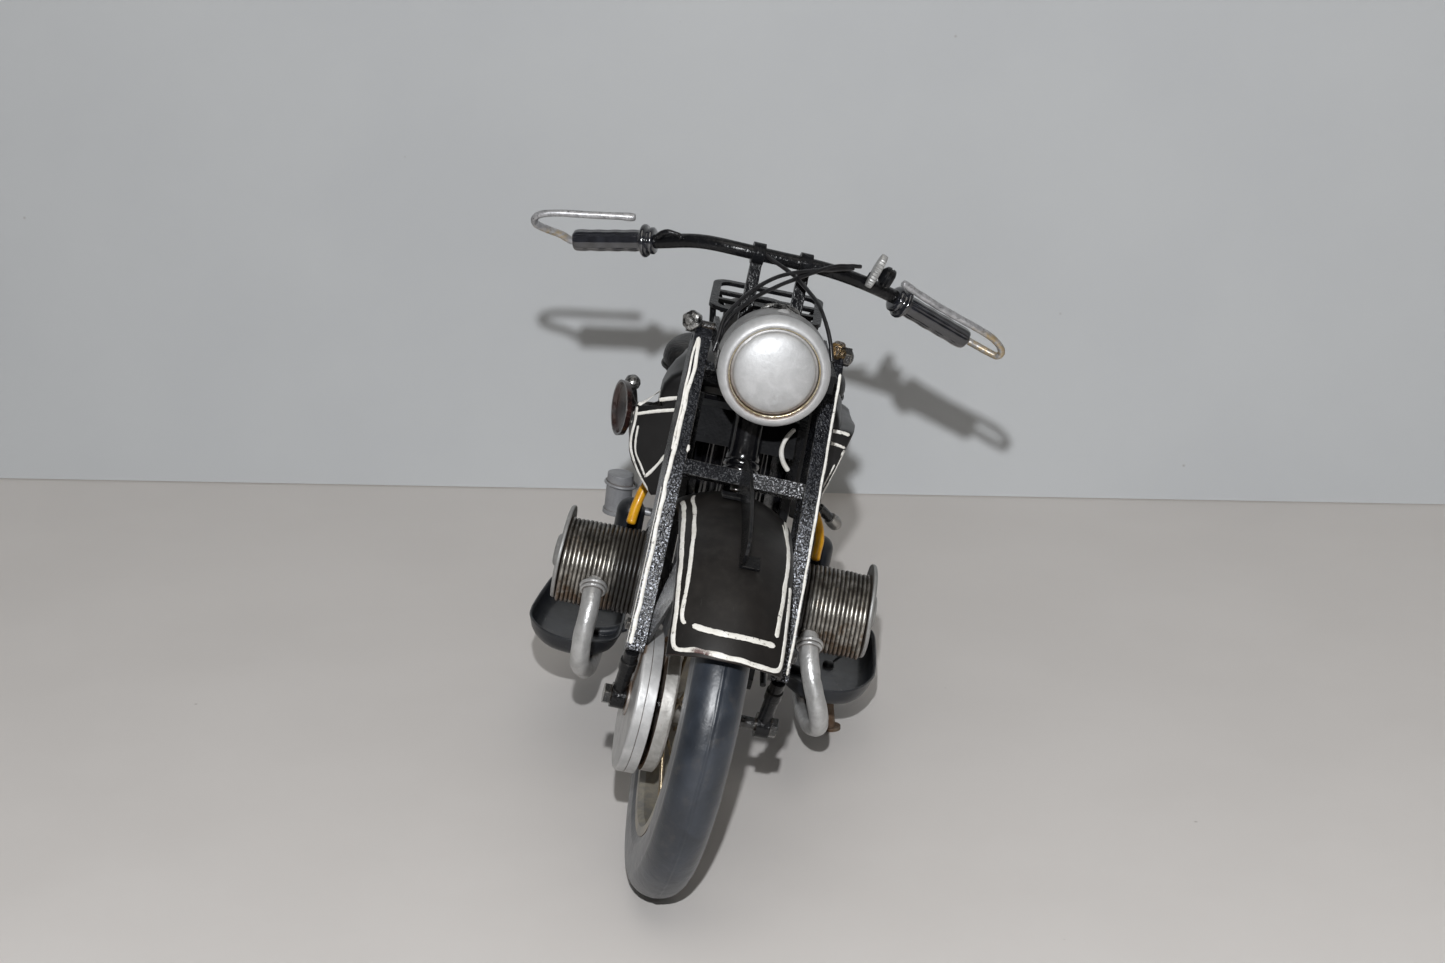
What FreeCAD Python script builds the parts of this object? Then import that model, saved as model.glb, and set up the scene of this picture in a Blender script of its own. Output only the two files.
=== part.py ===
import FreeCAD, Part
import Sketcher
import math
import os
import re
from FreeCAD import Vector as V, Placement, Rotation

# Tin toy motorcycle: flat twin, pressed-steel fork and frame, leaning on its side stand
# with the bars turned a little left.
# It is modelled upright in the bike frame: X to the rider's left, -Y forward, +Z up,
# the origin midway between the axles. FRAME and FORK then lean and steer it.
# In every loop over sides, 1 is the rider's left and -1 the right.

doc = FreeCAD.newDocument("tin_motorcycle")
sheet = doc.addObject("Spreadsheet::Sheet", "dims")

DIMS = {
    # stance
    "lean_deg": 10.75, "ground": -1.769, "steer_deg": 6.75, "rake_deg": 28.5,
    "shift_x": -20.766, "shift_y": -3.954, "shift_z": 1.769,
    # wheels and front brake
    "wheel_rad": 45.3, "tyre_half": 6.5, "tyre_bead_rad": 30.25, "tyre_bead_half": 4.8,
    "tyre_wide_rad": 37.5,
    "rim_out": 30.15, "rim_in": 28.5, "rim_half": 5.9, "rim_lip": 31.6, "rim_lip_in": 5.0,
    "axle_front_y": -90.0, "axle_rear_y": 90.0, "axle_front_z": 43.0, "axle_rear_z": 43.603,
    "axle_rad": 1.5, "hub_bore": 1.57,
    "hub_rad": 3.6, "hub_flange_rad": 6.6, "hub_half": 6.6, "flange_thick": 1.1,
    "spoke_rad": 0.42, "drum_rad": 16.6, "drum_in": -10.2, "drum_out": -6.75,
    "plate_rad": 17.4, "plate_face": -15.2, "plate_seam": -12.95, "plate_back": -10.5,
    # fork; yoke positions are measured up along the blades
    "blade_x": 17.4, "blade_wide": 4.2, "blade_wall": 0.8, "leg_rad": 1.75, "leg_x": 17.7,
    "blade_low_y": -95.7, "blade_low_z": 58.4, "blade_tilt": 0.9,
    "axis_off": 7.0, "stem_rad": 1.5, "head_bore": 1.58, "head_rad": 2.6,
    "yoke_low_pos": 42.4, "yoke_up_pos": 68.5, "yoke_thick": 3.6, "yoke_up_thick": 2.0,
    # headlamp
    "lamp_x": -0.8, "lamp_y": -86.0, "lamp_z": 128.6, "lamp_tilt": 3.0, "lamp_rad": 13.15,
    "lamp_body_rad": 12.2, "lamp_depth": 25.0, "lens_rad": 10.4, "lens_dome": 3.0,
    "lamp_bolt_rad": 1.1,
    # handlebar and controls
    "bar_rad": 1.75, "bar_y": -42.0, "bar_z": 143.6, "clamp_x": 5.9, "clamp_wide": 3.0,
    "grip_rad": 2.85, "grip_len": 17.6, "lever_rad": 0.85, "dial_rad": 4.3,
    "dial_thick": 1.4, "cable_rad": 0.48,
    # mudguards and front number plate
    "fender_crown": 53.0, "fender_edge": 48.6, "fender_half": 12.7, "fender_gauge": 0.7,
    "rear_fender_crown": 51.2, "rear_fender_edge": 47.8, "rear_fender_half": 11.6,
    "number_low": 53.4, "number_high": 62.5, "number_thick": 0.8,
    # frame and engine
    "rail_x": 12.0, "rail_thick": 2.2,
    "cyl_y": -28.4, "cyl_z": 51.2, "cyl_start": 11.8, "cyl_end": 39.4, "barrel_rad": 7.6,
    "fin_rad": 11.1, "fin_pitch": 1.16, "fin_thick": 0.62, "fin_count": 20, "fin_first": 16.6,
    "head_rad_out": 12.2, "head_thick": 1.7, "boss_rad": 4.3, "boss_high": 1.1,
    "case_half": 11.6, "case_front": -36.8, "case_back": -10.0, "case_low": 35.5,
    "case_high": 65.0, "box_half": 9.2, "box_back": 17.0, "box_low": 37.0, "box_high": 61.0,
    "exh_rad": 2.55, "silencer_rad": 4.4,
    "board_z": 27.4, "board_in": 21.5, "board_out": 46.6,
    # tank, rack, saddle and stand
    "tank_half": 27.0, "tank_top": 113.5, "shield_z": 99.5, "shield_low": 75.4,
    "rack_half": 16.0, "rack_z": 99.3, "rack_rear": 91.0, "rack_front": 61.0,
    "rack_wide": 2.4, "rack_thick": 1.1,
    "saddle_half": 25.4, "stand_rad": 1.35, "bolt_rad": 1.2,
}
for row, (alias, number) in enumerate(DIMS.items(), start=1):
    sheet.set("A%d" % row, alias)
    sheet.set("B%d" % row, str(number))
    sheet.setAlias("B%d" % row, alias)
doc.recompute()


class Cells(object):
    """Reads a driving dimension from the sheet by its alias."""

    def __getattr__(self, name):
        return float(sheet.get(name))


dim = Cells()
PIECES = []  # (label, object)
SIDES = (1, -1)
X_AXIS = V(1, 0, 0)
Z_AXIS = V(0, 0, 1)


# ---------------------------------------------------------------- sizes given as text
# A size is a number, or text that adds and subtracts aliases and numbers.
def expression(text):
    """The text as an expression over the sheet."""
    return re.sub(r"[a-z][a-z_]*", r"dims.\g<0>", text)


def value(size):
    if not isinstance(size, str):
        return float(size)
    total = 0.0
    for term in re.findall(r"[+-]?[^+-]+", size):
        sign = -1.0 if term.startswith("-") else 1.0
        word = term.lstrip("+-")
        total += sign * (getattr(dim, word) if word in DIMS else float(word))
    return total


# ---------------------------------------------------------------- sketches and bodies
def origin_feature(body, role):
    return [f for f in body.Origin.OriginFeatures if f.Role == role][0]


def sketch_on(body, name, role="XY_Plane", offset=0):
    sketch = body.newObject("Sketcher::SketchObject", name)
    sketch.AttachmentSupport = [(origin_feature(body, role), "")]
    sketch.MapMode = "FlatFace"
    sketch.AttachmentOffset = Placement(V(0, 0, value(offset)), Rotation())
    return sketch


def constrain(sketch, size, kind, *where):
    index = sketch.addConstraint(Sketcher.Constraint(kind, *where, value(size)))
    if isinstance(size, str):
        sketch.setExpression("Constraints[%d]" % index, expression(size))


def outline(sketch, points, arcs=()):
    """Closed outline through points; arcs maps an edge's index to a point it passes through."""
    corners = [V(value(a), value(b), 0) for a, b in points]
    count = len(corners)
    edges = []  # geometry index, its start vertex, its end vertex, arc radius
    for i, start in enumerate(corners):
        end = corners[(i + 1) % count]
        if i not in arcs:
            index = sketch.addGeometry(Part.LineSegment(start, end), False)
            edges.append((index, 1, 2, None))
            continue
        middle = V(value(arcs[i][0]), value(arcs[i][1]), 0)
        # sketch arcs run anticlockwise, so a clockwise one is drawn from its end
        clockwise = (middle - start).cross(end - middle).z < 0
        arc = Part.Arc(end, middle, start) if clockwise else Part.Arc(start, middle, end)
        index = sketch.addGeometry(arc, False)
        radius = sketch.Geometry[index].Radius
        edges.append((index, 2, 1, radius) if clockwise else (index, 1, 2, radius))
    for i, (index, _, end, _) in enumerate(edges):
        following, start = edges[(i + 1) % count][:2]
        sketch.addConstraint(Sketcher.Constraint("Coincident", index, end, following, start))
    for (index, start, _, radius), (a, b) in zip(edges, points):
        constrain(sketch, a, "DistanceX", -1, 1, index, start)
        constrain(sketch, b, "DistanceY", -1, 1, index, start)
        if radius is not None:
            constrain(sketch, radius, "Radius", index)


def circle(sketch, center_x, center_y, radius):
    center = V(value(center_x), value(center_y), 0)
    index = sketch.addGeometry(Part.Circle(center, Z_AXIS, value(radius)), False)
    constrain(sketch, center_x, "DistanceX", -1, 1, index, 3)
    constrain(sketch, center_y, "DistanceY", -1, 1, index, 3)
    constrain(sketch, radius, "Radius", index)


def pad_sketch(body, sketch, name, length):
    doc.recompute()
    pad = body.newObject("PartDesign::Pad", name)
    pad.Profile = sketch
    pad.Length = value(length)
    if isinstance(length, str):
        pad.setExpression("Length", expression(length))
    body.Tip = pad
    doc.recompute()
    return pad


def keep(obj, label, base):
    """Labels a finished piece and moves it from base's local frame to its final place."""
    obj.Label = label
    obj.Placement = base.multiply(obj.Placement)
    PIECES.append((label, obj))


def turned(label, base, points, arcs=()):
    """A body of revolution about its X axis: points are (x, radius)."""
    name = label + "_body"
    body = doc.addObject("PartDesign::Body", name)
    sketch = sketch_on(body, name + "_section")
    outline(sketch, points, arcs)
    doc.recompute()
    turn = body.newObject("PartDesign::Revolution", name + "_turn")
    turn.Profile = sketch
    turn.ReferenceAxis = (sketch, ["H_Axis"])
    turn.Angle = 360
    body.Tip = turn
    doc.recompute()
    keep(body, label, base)


def padded(label, points, length, role, offset, holes=(), bores=()):
    """An extruded body: holes are outlines, bores are (x, y, radius)."""
    name = label + "_body"
    body = doc.addObject("PartDesign::Body", name)
    sketch = sketch_on(body, name + "_outline", role, offset)
    outline(sketch, points)
    for hole in holes:
        outline(sketch, hole)
    for bore in bores:
        circle(sketch, *bore)
    pad_sketch(body, sketch, name + "_pad", length)
    return body


# ---------------------------------------------------------------- plain shapes
def largest(shape):
    return max(shape.Solids, key=lambda solid: solid.Volume)


def piece(label, base, shape):
    """Keeps one shape, or a list of shapes as a compound of their solids."""
    if isinstance(shape, list):
        shape = Part.makeCompound([solid for one in shape for solid in one.Solids])
    obj = doc.addObject("Part::Feature", label + "_f")
    obj.Shape = shape
    keep(obj, label, base)


def rod(start, end, radius):
    start, end = V(*start), V(*end)
    return Part.makeCylinder(radius, (end - start).Length, start, end - start)


def x_rod(radius, length, x, center=V(0, 0, 0)):
    """A cylinder running towards +X from x, about a line through center."""
    return Part.makeCylinder(radius, length, center + V(x, 0, 0), X_AXIS)


def closed_wire(points):
    points = [V(*p) for p in points]
    return Part.makePolygon(points + [points[0]])


def panel(points):
    return Part.Face(closed_wire(points))


def lathe(points):
    """A solid turned about X: points are (x, radius)."""
    return panel([(x, radius, 0) for x, radius in points]).revolve(V(0, 0, 0), X_AXIS, 360)


def tube(points, radius):
    """A round wire swept along a smooth curve through points."""
    curve = Part.BSplineCurve()
    curve.interpolate([V(*p) for p in points])
    path = Part.Wire([curve.toShape()])
    heading = curve.tangent(curve.FirstParameter)[0]
    section = Part.Wire([Part.Circle(V(*points[0]), heading, radius).toShape()])
    return path.makePipeShell([section], True, True)


def mirror_x(shape):
    return shape.mirror(V(0, 0, 0), X_AXIS)


def hexagon(center, axis, across, thick, dome=0.0, bore=0.0):
    """A hex nut or bolt head: across flats, along axis from center."""
    center, axis = V(*center), V(*axis).normalize()
    radius = across / math.sqrt(3.0)
    turn = Rotation(Z_AXIS, axis)
    angles = [math.radians(60 * i) for i in range(6)]
    nut = panel([center + turn.multVec(V(radius * math.cos(a), radius * math.sin(a), 0))
                 for a in angles]).extrude(axis * thick)
    if dome > 0:
        top = center + axis * thick
        ball_rad = (radius * radius * 0.64 + dome * dome) / (2 * dome)
        ball = Part.makeSphere(ball_rad, top - axis * (ball_rad - dome))
        limit = Part.makeCylinder(radius * 0.82, dome * 2, top - axis * 0.05, axis)
        nut = nut.fuse(ball.common(limit)).removeSplitter()
    if bore > 0:
        start = center - axis * (thick * 2 + 4)
        nut = nut.cut(Part.makeCylinder(bore, thick * 4 + 8, start, axis))
    return nut


def polar(center, radius, degrees, x=0.0):
    """A point round an axle: 0 is forward, 90 up, 180 rearward."""
    angle = math.radians(degrees)
    return center + V(x, -radius * math.cos(angle), radius * math.sin(angle))


def guard(center, crown, edge, half, gauge, start_deg, end_deg, lip):
    """An arched mudguard: its section is turned about the axle, angles as in polar."""
    inner_edge = edge - gauge * 0.2
    outer = [V(-half, 0, edge), V(0, 0, crown), V(half, 0, edge)]
    inner = [V(half - gauge, 0, inner_edge), V(0, 0, crown - gauge),
             V(-half + gauge, 0, inner_edge)]
    lip_left = [V(half, 0, edge - lip), V(half - gauge, 0, edge - lip)]
    lip_right = [V(-half + gauge, 0, edge - lip), V(-half, 0, edge - lip)]
    edges = [Part.Arc(*outer).toShape(), Part.makeLine(outer[2], lip_left[0]),
             Part.makeLine(*lip_left), Part.makeLine(lip_left[1], inner[0]),
             Part.Arc(*inner).toShape(), Part.makeLine(inner[2], lip_right[0]),
             Part.makeLine(*lip_right), Part.makeLine(lip_right[1], outer[0])]
    face = Part.Face(Part.Wire(edges))
    face.rotate(V(0, 0, 0), X_AXIS, 90.0 - start_deg)  # drawn pointing up, at 90
    arch = face.revolve(V(0, 0, 0), X_AXIS, start_deg - end_deg)
    arch.translate(center)
    return arch


# ---------------------------------------------------------------- places
def about(point, axis, degrees):
    turn = Rotation(axis, degrees)
    return Placement(point - turn.multVec(point), turn)


LEAN = math.radians(dim.lean_deg)
RAKE = math.radians(dim.rake_deg)
UP = V(0, math.sin(RAKE), math.cos(RAKE))     # up along the fork
BACK = V(0, math.cos(RAKE), -math.sin(RAKE))  # rearward, square to the fork
BLADE_LOW = V(0, dim.blade_low_y, dim.blade_low_z)  # midway between the blades' lower ends
AXIS_LOW = BLADE_LOW + BACK * dim.axis_off    # a point on the steering axis
FRONT_AXLE = V(0, dim.axle_front_y, dim.axle_front_z)
REAR_AXLE = V(0, dim.axle_rear_y, dim.axle_rear_z)

SHIFT = Placement(V(dim.shift_x, dim.shift_y, dim.shift_z), Rotation())
FRAME = SHIFT.multiply(Placement(V(0, 0, 0), Rotation(V(0, 1, 0), dim.lean_deg)))
FORK = FRAME.multiply(about(AXIS_LOW, UP, dim.steer_deg))
FRONT_WHEEL = FORK.multiply(Placement(FRONT_AXLE, Rotation()))
REAR_WHEEL = FRAME.multiply(Placement(REAR_AXLE, Rotation()))


# ---------------------------------------------------------------- wheels
def spokes(side, phase, count=10):
    """Straight spokes on one side of the hub, leaning alternately either way."""
    start_rad, end_rad = dim.hub_flange_rad + 0.02, dim.rim_in + 0.1
    wires = []
    for i in range(count):
        hub_x, rim_x, lean = (6.1, 2.6, 34) if i % 2 else (4.7, 0.9, -34)
        a = math.radians(phase + 360.0 * i / count)
        b = a + math.radians(lean)
        wires.append(rod((side * hub_x, start_rad * math.cos(a), start_rad * math.sin(a)),
                         (side * rim_x, end_rad * math.cos(b), end_rad * math.sin(b)),
                         dim.spoke_rad))
    return wires


def wheel(prefix, base):
    turned(prefix + "_tyre", base, [
        ("-tyre_bead_half", "tyre_bead_rad"), ("tyre_bead_half", "tyre_bead_rad"),
        ("tyre_bead_half", "tyre_bead_rad+1.6"), ("tyre_half", "tyre_wide_rad"),
        (3.4, "wheel_rad-0.99"), (0.35, "wheel_rad"),
        (-0.35, "wheel_rad"), (-3.4, "wheel_rad-0.99"),
        ("-tyre_half", "tyre_wide_rad"), ("-tyre_bead_half", "tyre_bead_rad+1.6")],
        {2: ("tyre_half-0.75", "tyre_wide_rad-3.2"), 3: ("tyre_half-1.05", "wheel_rad-3.57"),
         4: (1.9, "wheel_rad-0.3"), 6: (-1.9, "wheel_rad-0.3"),
         7: ("-tyre_half+1.05", "wheel_rad-3.57"),
         8: ("-tyre_half+0.75", "tyre_wide_rad-3.2")})
    turned(prefix + "_rim", base, [
        ("-rim_half", "rim_in+0.8"), ("-rim_half+1.4", "rim_in"), ("rim_half-1.4", "rim_in"),
        ("rim_half", "rim_in+0.8"), ("rim_half", "rim_lip"), ("rim_lip_in", "rim_lip"),
        ("rim_lip_in", "rim_out"), ("-rim_lip_in", "rim_out"),
        ("-rim_lip_in", "rim_lip"), ("-rim_half", "rim_lip")])
    rim_bore = x_rod(dim.rim_in - 0.01, 30, -15)
    hub_space = x_rod(dim.hub_flange_rad + 0.02, 40, -20)
    piece(prefix + "_spokes", base,
          [s.common(rim_bore).cut(hub_space) for s in spokes(1, 0) + spokes(-1, 18)])


def axle_rod(label, base, start_x, length):
    axle = doc.addObject("Part::Cylinder", label + "_rod")
    axle.setExpression("Radius", "dims.axle_rad")
    axle.Height = length
    axle.Placement = Placement(V(start_x, 0, 0), Rotation(Z_AXIS, X_AXIS))
    keep(axle, label, base)


wheel("front", FRONT_WHEEL)
wheel("rear", REAR_WHEEL)
axle_rod("front_axle", FRONT_WHEEL, -21.2, 42.4)
axle_rod("rear_axle", REAR_WHEEL, -23.6, 45.0)

turned("front_hub", FRONT_WHEEL, [
    ("-hub_half", "hub_bore"), ("hub_half+2.2", "hub_bore"), ("hub_half+2.2", "hub_rad-1"),
    ("hub_half", "hub_rad"), ("hub_half", "hub_flange_rad"),
    ("hub_half-flange_thick", "hub_flange_rad"), ("hub_half-flange_thick-1", "hub_rad"),
    ("-hub_half+flange_thick+1", "hub_rad"), ("-hub_half+flange_thick", "hub_flange_rad"),
    ("-hub_half", "hub_flange_rad")])
# the front drum is on the right
turned("front_brake_drum", FRONT_WHEEL, [
    ("drum_out", "hub_bore"), ("drum_out", "drum_rad-1"), ("drum_out-0.6", "drum_rad"),
    ("drum_in", "drum_rad"), ("drum_in", "drum_rad-1.4"), ("drum_out-1.2", "drum_rad-1.4"),
    ("drum_out-1.2", "hub_bore")])
# the rear hub carries its brake drum on the left and a plain flange on the right
turned("rear_hub", REAR_WHEEL, [
    ("-hub_half-2.2", "hub_bore"), ("hub_half+1.6", "hub_bore"), ("hub_half+1.6", 12.4),
    ("hub_half+1.2", 12.8), ("hub_half+0.1", 12.8), ("hub_half+0.1", "hub_flange_rad"),
    ("hub_half-flange_thick", "hub_flange_rad"), ("hub_half-flange_thick-1", "hub_rad"),
    ("-hub_half+flange_thick+1", "hub_rad"), ("-hub_half+flange_thick", "hub_flange_rad"),
    ("-hub_half", "hub_flange_rad"), ("-hub_half", "hub_rad"),
    ("-hub_half-2.2", "hub_rad-1")])

# front brake plates: two discs on the right, fixed to the fork; the outer has a round edge
seam_half = 0.05
plate_bore = x_rod(dim.hub_bore, 20, -20)
plate_start = dim.plate_seam + seam_half
inner_plate = x_rod(dim.plate_rad, dim.plate_back - plate_start, plate_start).cut(plate_bore)
outer_plate = x_rod(dim.plate_rad, dim.plate_seam - seam_half - dim.plate_face, dim.plate_face)
outer_plate = outer_plate.makeFillet(0.7, [
    e for e in outer_plate.Edges
    if e.Length > 50 and abs(e.CenterOfMass.x - dim.plate_face) < 0.01])
plate_boss = x_rod(4.2, 0.5, dim.plate_face - 0.5).cut(plate_bore)
outer_plate = outer_plate.cut(plate_bore).fuse(plate_boss).removeSplitter()
piece("front_brake_plates", FRONT_WHEEL, [inner_plate, outer_plate])


# ---------------------------------------------------------------- fork
def fork_point(up, back, x=0.0):
    """A point up along the blades from their lower ends and back from the blade line."""
    return BLADE_LOW + UP * up + BACK * back + V(x, 0, 0)


def side_profile(points, x0, x1):
    """Extrudes a side outline of (up, back) fork points from x0 to x1."""
    return panel([fork_point(up, back, x0) for up, back in points]).extrude(V(x1 - x0, 0, 0))


# the blades close in towards the lamp
TAPER = about(fork_point(0, 0, dim.blade_x), BACK, -dim.blade_tilt)
BLADE_HALF = dim.blade_wide / 2


def blade_point(up, back, outward=0.0):
    """A point on the tilted left blade, outward from its middle."""
    return TAPER.multVec(fork_point(up, back, dim.blade_x + outward))


# the lamp bolt crosses both blades along X
LAMP_BOLT = blade_point(79.0, 0.6)
BOLT_OUT_X = blade_point(79.0, 0.6, BLADE_HALF).x
BOLT_IN_X = blade_point(79.0, 0.6, -BLADE_HALF).x


def on_lamp_bolt(x):
    return V(x, LAMP_BOLT.y, LAMP_BOLT.z)


# blade outline as (up, back) pairs
BLADE_FRONT = [(-1.0, -2.6), (6, -3.4), (20, -4.2), (45, -4.4), (70, -3.8), (79.5, -3.2),
               (83.0, -1.6)]
BLADE_REAR = [(83.0, 2.2), (78.6, 4.6), (66, 5.2), (45, 6.0), (24, 5.4), (8, 3.6), (-1.0, 2.4)]
HOLLOW_LOW, HOLLOW_HIGH, HOLLOW_BACK = 0.2, 82.1, 9
blade = side_profile(BLADE_FRONT + BLADE_REAR,
                     dim.blade_x - BLADE_HALF, dim.blade_x + BLADE_HALF)
hollow = [(up, back + dim.blade_wall) for up, back in BLADE_FRONT]
hollow[0] = (HOLLOW_LOW, hollow[0][1])
hollow[-1] = (HOLLOW_HIGH, hollow[-1][1])
hollow += [(HOLLOW_HIGH, HOLLOW_BACK), (HOLLOW_LOW, HOLLOW_BACK)]
blade = blade.cut(side_profile(hollow, dim.blade_x - BLADE_HALF + dim.blade_wall,
                               dim.blade_x + BLADE_HALF - dim.blade_wall))
blade.Placement = TAPER.multiply(blade.Placement)
blade = blade.cut(rod(LAMP_BOLT - V(8, 0, 0), LAMP_BOLT + V(8, 0, 0),
                      dim.lamp_bolt_rad + 0.1))
piece("fork_blades", FORK, [blade, mirror_x(blade)])

# legs: round bars from the axle eyes up to the blades' ends
LEG_END = -1.05
leg_low = FRONT_AXLE + V(dim.leg_x, 0, 0)
leg_run = fork_point(LEG_END, 0.0, dim.leg_x) - leg_low
leg = rod(leg_low, leg_low + leg_run, dim.leg_rad)
collar = rod(leg_low + leg_run * 0.62, leg_low + leg_run * 0.80, dim.leg_rad + 0.3)
leg = leg.fuse([collar, x_rod(3.0, 3.3, -1.65, leg_low)])
leg = leg.cut(x_rod(dim.axle_rad + 0.04, 12, -6, leg_low))
leg = leg.common(side_profile([(LEG_END, -20), (LEG_END, 30), (-60, 30), (-60, -20)],
                              dim.leg_x - 8, dim.leg_x + 8)).removeSplitter()
piece("fork_legs", FORK, [leg, mirror_x(leg)])

# the space between the blades' inner faces
gap = -BLADE_HALF - 0.02
BETWEEN = panel([blade_point(-10, -30, gap), blade_point(100, -30, gap),
                 fork_point(100, -30), fork_point(-10, -30)]).extrude(BACK * 80)
BETWEEN = BETWEEN.fuse(mirror_x(BETWEEN))

YOKE_LOW = dim.yoke_low_pos
YOKE_LOW_TOP = YOKE_LOW + dim.yoke_thick
YOKE_UP = dim.yoke_up_pos
YOKE_UP_TOP = YOKE_UP + dim.yoke_up_thick
stem_hole = rod(AXIS_LOW + UP * (YOKE_LOW - 20), AXIS_LOW + UP * 120, dim.stem_rad + 0.03)
YOKES = [  # outlines as (up, back) pairs: lower, upper
    [(YOKE_LOW, -2.6), (YOKE_LOW_TOP, -2.6), (YOKE_LOW_TOP, 10.4), (YOKE_LOW + 1.4, 10.4),
     (YOKE_LOW + 1.4, -1.2), (YOKE_LOW, -1.2)],
    [(YOKE_UP, 0.0), (YOKE_UP_TOP, 0.0), (YOKE_UP_TOP, 14.5), (YOKE_UP, 14.5)],
]
piece("fork_yokes", FORK,
      [side_profile(yoke, -30, 30).common(BETWEEN).cut(stem_hole).removeSplitter()
       for yoke in YOKES])
piece("steering_stem", FORK,
      rod(AXIS_LOW + UP * (YOKE_LOW + 0.1), AXIS_LOW + UP * (YOKE_UP + 4.4), dim.stem_rad))

# ---------------------------------------------------------------- headlamp
LAMP_CENTER = V(dim.lamp_x, dim.lamp_y, dim.lamp_z)
LAMP_TURN = Rotation(X_AXIS, -dim.lamp_tilt)  # the lamp looks a little upward
LAMP_AXIS = LAMP_TURN.multVec(V(0, -1, 0))
# local +X becomes forward
LAMP = FORK.multiply(Placement(LAMP_CENTER, LAMP_TURN.multiply(Rotation(Z_AXIS, -90))))

turned("headlamp_shell", LAMP, [
    (-1.0, "lamp_body_rad-0.9"), (-1.0, "lamp_body_rad"), (-7, "lamp_body_rad-0.15"),
    (-15, "lamp_body_rad-3.0"), ("-lamp_depth+3.2", 5.2), ("-lamp_depth", 0.5),
    ("-lamp_depth", 0), ("-lamp_depth+1.0", 0), ("-lamp_depth+1.0", 0.5),
    ("-lamp_depth+4.0", 4.6), (-14.6, "lamp_body_rad-3.8"), (-7, "lamp_body_rad-1.05")],
    {2: (-11.2, "lamp_body_rad-1.1"), 3: (-19.2, "lamp_body_rad-5.2"),
     4: ("-lamp_depth+1.2", 3.0), 8: ("-lamp_depth+2.1", 2.6),
     9: (-18.4, "lamp_body_rad-5.7"), 10: (-10.9, "lamp_body_rad-2.0")})
turned("headlamp_rim", LAMP, [
    (-2.6, "lamp_body_rad+0.05"), (-2.6, "lamp_rad-0.35"), (-0.6, "lamp_rad"),
    (1.1, "lamp_rad-0.5"), (1.5, "lens_rad+0.35"), (0.4, "lens_rad+0.15"),
    (-0.9, "lens_rad+0.15"), (-0.9, "lamp_body_rad+0.05")],
    {3: (1.9, "lamp_rad-1.75")})
turned("headlamp_lens", LAMP, [
    (-0.8, 0), (-0.8, "lens_rad"), (0.3, "lens_rad"), (0.5, "lens_rad-0.5"),
    ("lens_dome", 0.3), ("lens_dome", 0)],
    {3: ("lens_dome-0.62", 5.6)})

# lamp ears: strips from the shell's sides back to the blades
lamp_space = Part.makeCylinder(dim.lamp_body_rad + 0.02, 13.0,
                               LAMP_CENTER - LAMP_AXIS * 0.9, LAMP_AXIS * -1)
ear_high = 4.4
ear_y, ear_z = dim.lamp_y + 2.8, LAMP_BOLT.z - ear_high / 2
ears = []
for side in SIDES:
    ear = Part.makeBox(1.1, LAMP_BOLT.y + 2.4 - ear_y, ear_high,
                       V(side * (BOLT_IN_X - 0.75) - 0.55, ear_y, ear_z))
    ear = ear.fuse(Part.makeBox(5.0, 4.4, ear_high,
                                V(side * (BOLT_IN_X - 2.6) - 2.5, ear_y, ear_z)))
    bolt_hole = rod(on_lamp_bolt(0), on_lamp_bolt(side * 30), dim.lamp_bolt_rad + 0.05)
    ears.append(largest(ear.cut(lamp_space).cut(bolt_hole).common(BETWEEN).removeSplitter()))
piece("headlamp_brackets", FORK, ears)

# ---------------------------------------------------------------- handlebar and controls
BAR = [  # (x, y, z) from the left end to the right
    (50.6, -27.4, 130.5), (41, -29.8, 134.3), (30.4, -34.0, 138.5), (21.5, -39.2, 141.6),
    (12, -41.8, 143.4), (0, dim.bar_y, dim.bar_z), (-12, -41.8, 143.6),
    (-20.5, -38.6, 142.4), (-30.2, -34.0, 138.7), (-39.5, -30.0, 135.8), (-47.8, -27.4, 133.0)]
piece("handlebar", FORK, tube(BAR, dim.bar_rad))
BAR_SPACE = tube(BAR, dim.bar_rad + 0.02)

# clamps: tapered flat strips from the upper yoke up to the bar, wrapped round it
CLAMP_CLEAR = YOKE_UP_TOP + 0.02
clamp_space = tube(BAR, dim.bar_rad + 0.03)
clamp_foot = fork_point(CLAMP_CLEAR, 9.5, dim.clamp_x)
clamp_top = V(dim.clamp_x, dim.bar_y, dim.bar_z)
rise = (clamp_top - clamp_foot).normalize()
foot_half, top_half = V(1.75, 0, 0), V(1.35, 0, 0)
thick_half = V(0, -rise.z, rise.y) * 0.75
clamp = panel([clamp_foot - foot_half + thick_half, clamp_foot + foot_half + thick_half,
               clamp_top + top_half + thick_half,
               clamp_top - top_half + thick_half]).extrude(thick_half * -2)
clamp = clamp.fuse(x_rod(dim.bar_rad + 0.95, dim.clamp_wide, -dim.clamp_wide / 2, clamp_top))
clamp = clamp.cut(clamp_space).removeSplitter()
clamp = largest(clamp.cut(side_profile(
    [(YOKE_UP - 10, -20), (CLAMP_CLEAR, -20), (CLAMP_CLEAR, 40), (YOKE_UP - 10, 40)],
    -30, 30)))
right_clamp = largest(mirror_x(clamp).cut(clamp_space).removeSplitter())
piece("bar_clamps", FORK, [clamp, right_clamp])

GRIPS = [(V(51.4, -27.2, 130.3), V(31.4, -33.5, 137.7)),  # (outer end, inner end)
         (V(-48.6, -27.2, 132.8), V(-30.8, -33.5, 138.6))]


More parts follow.
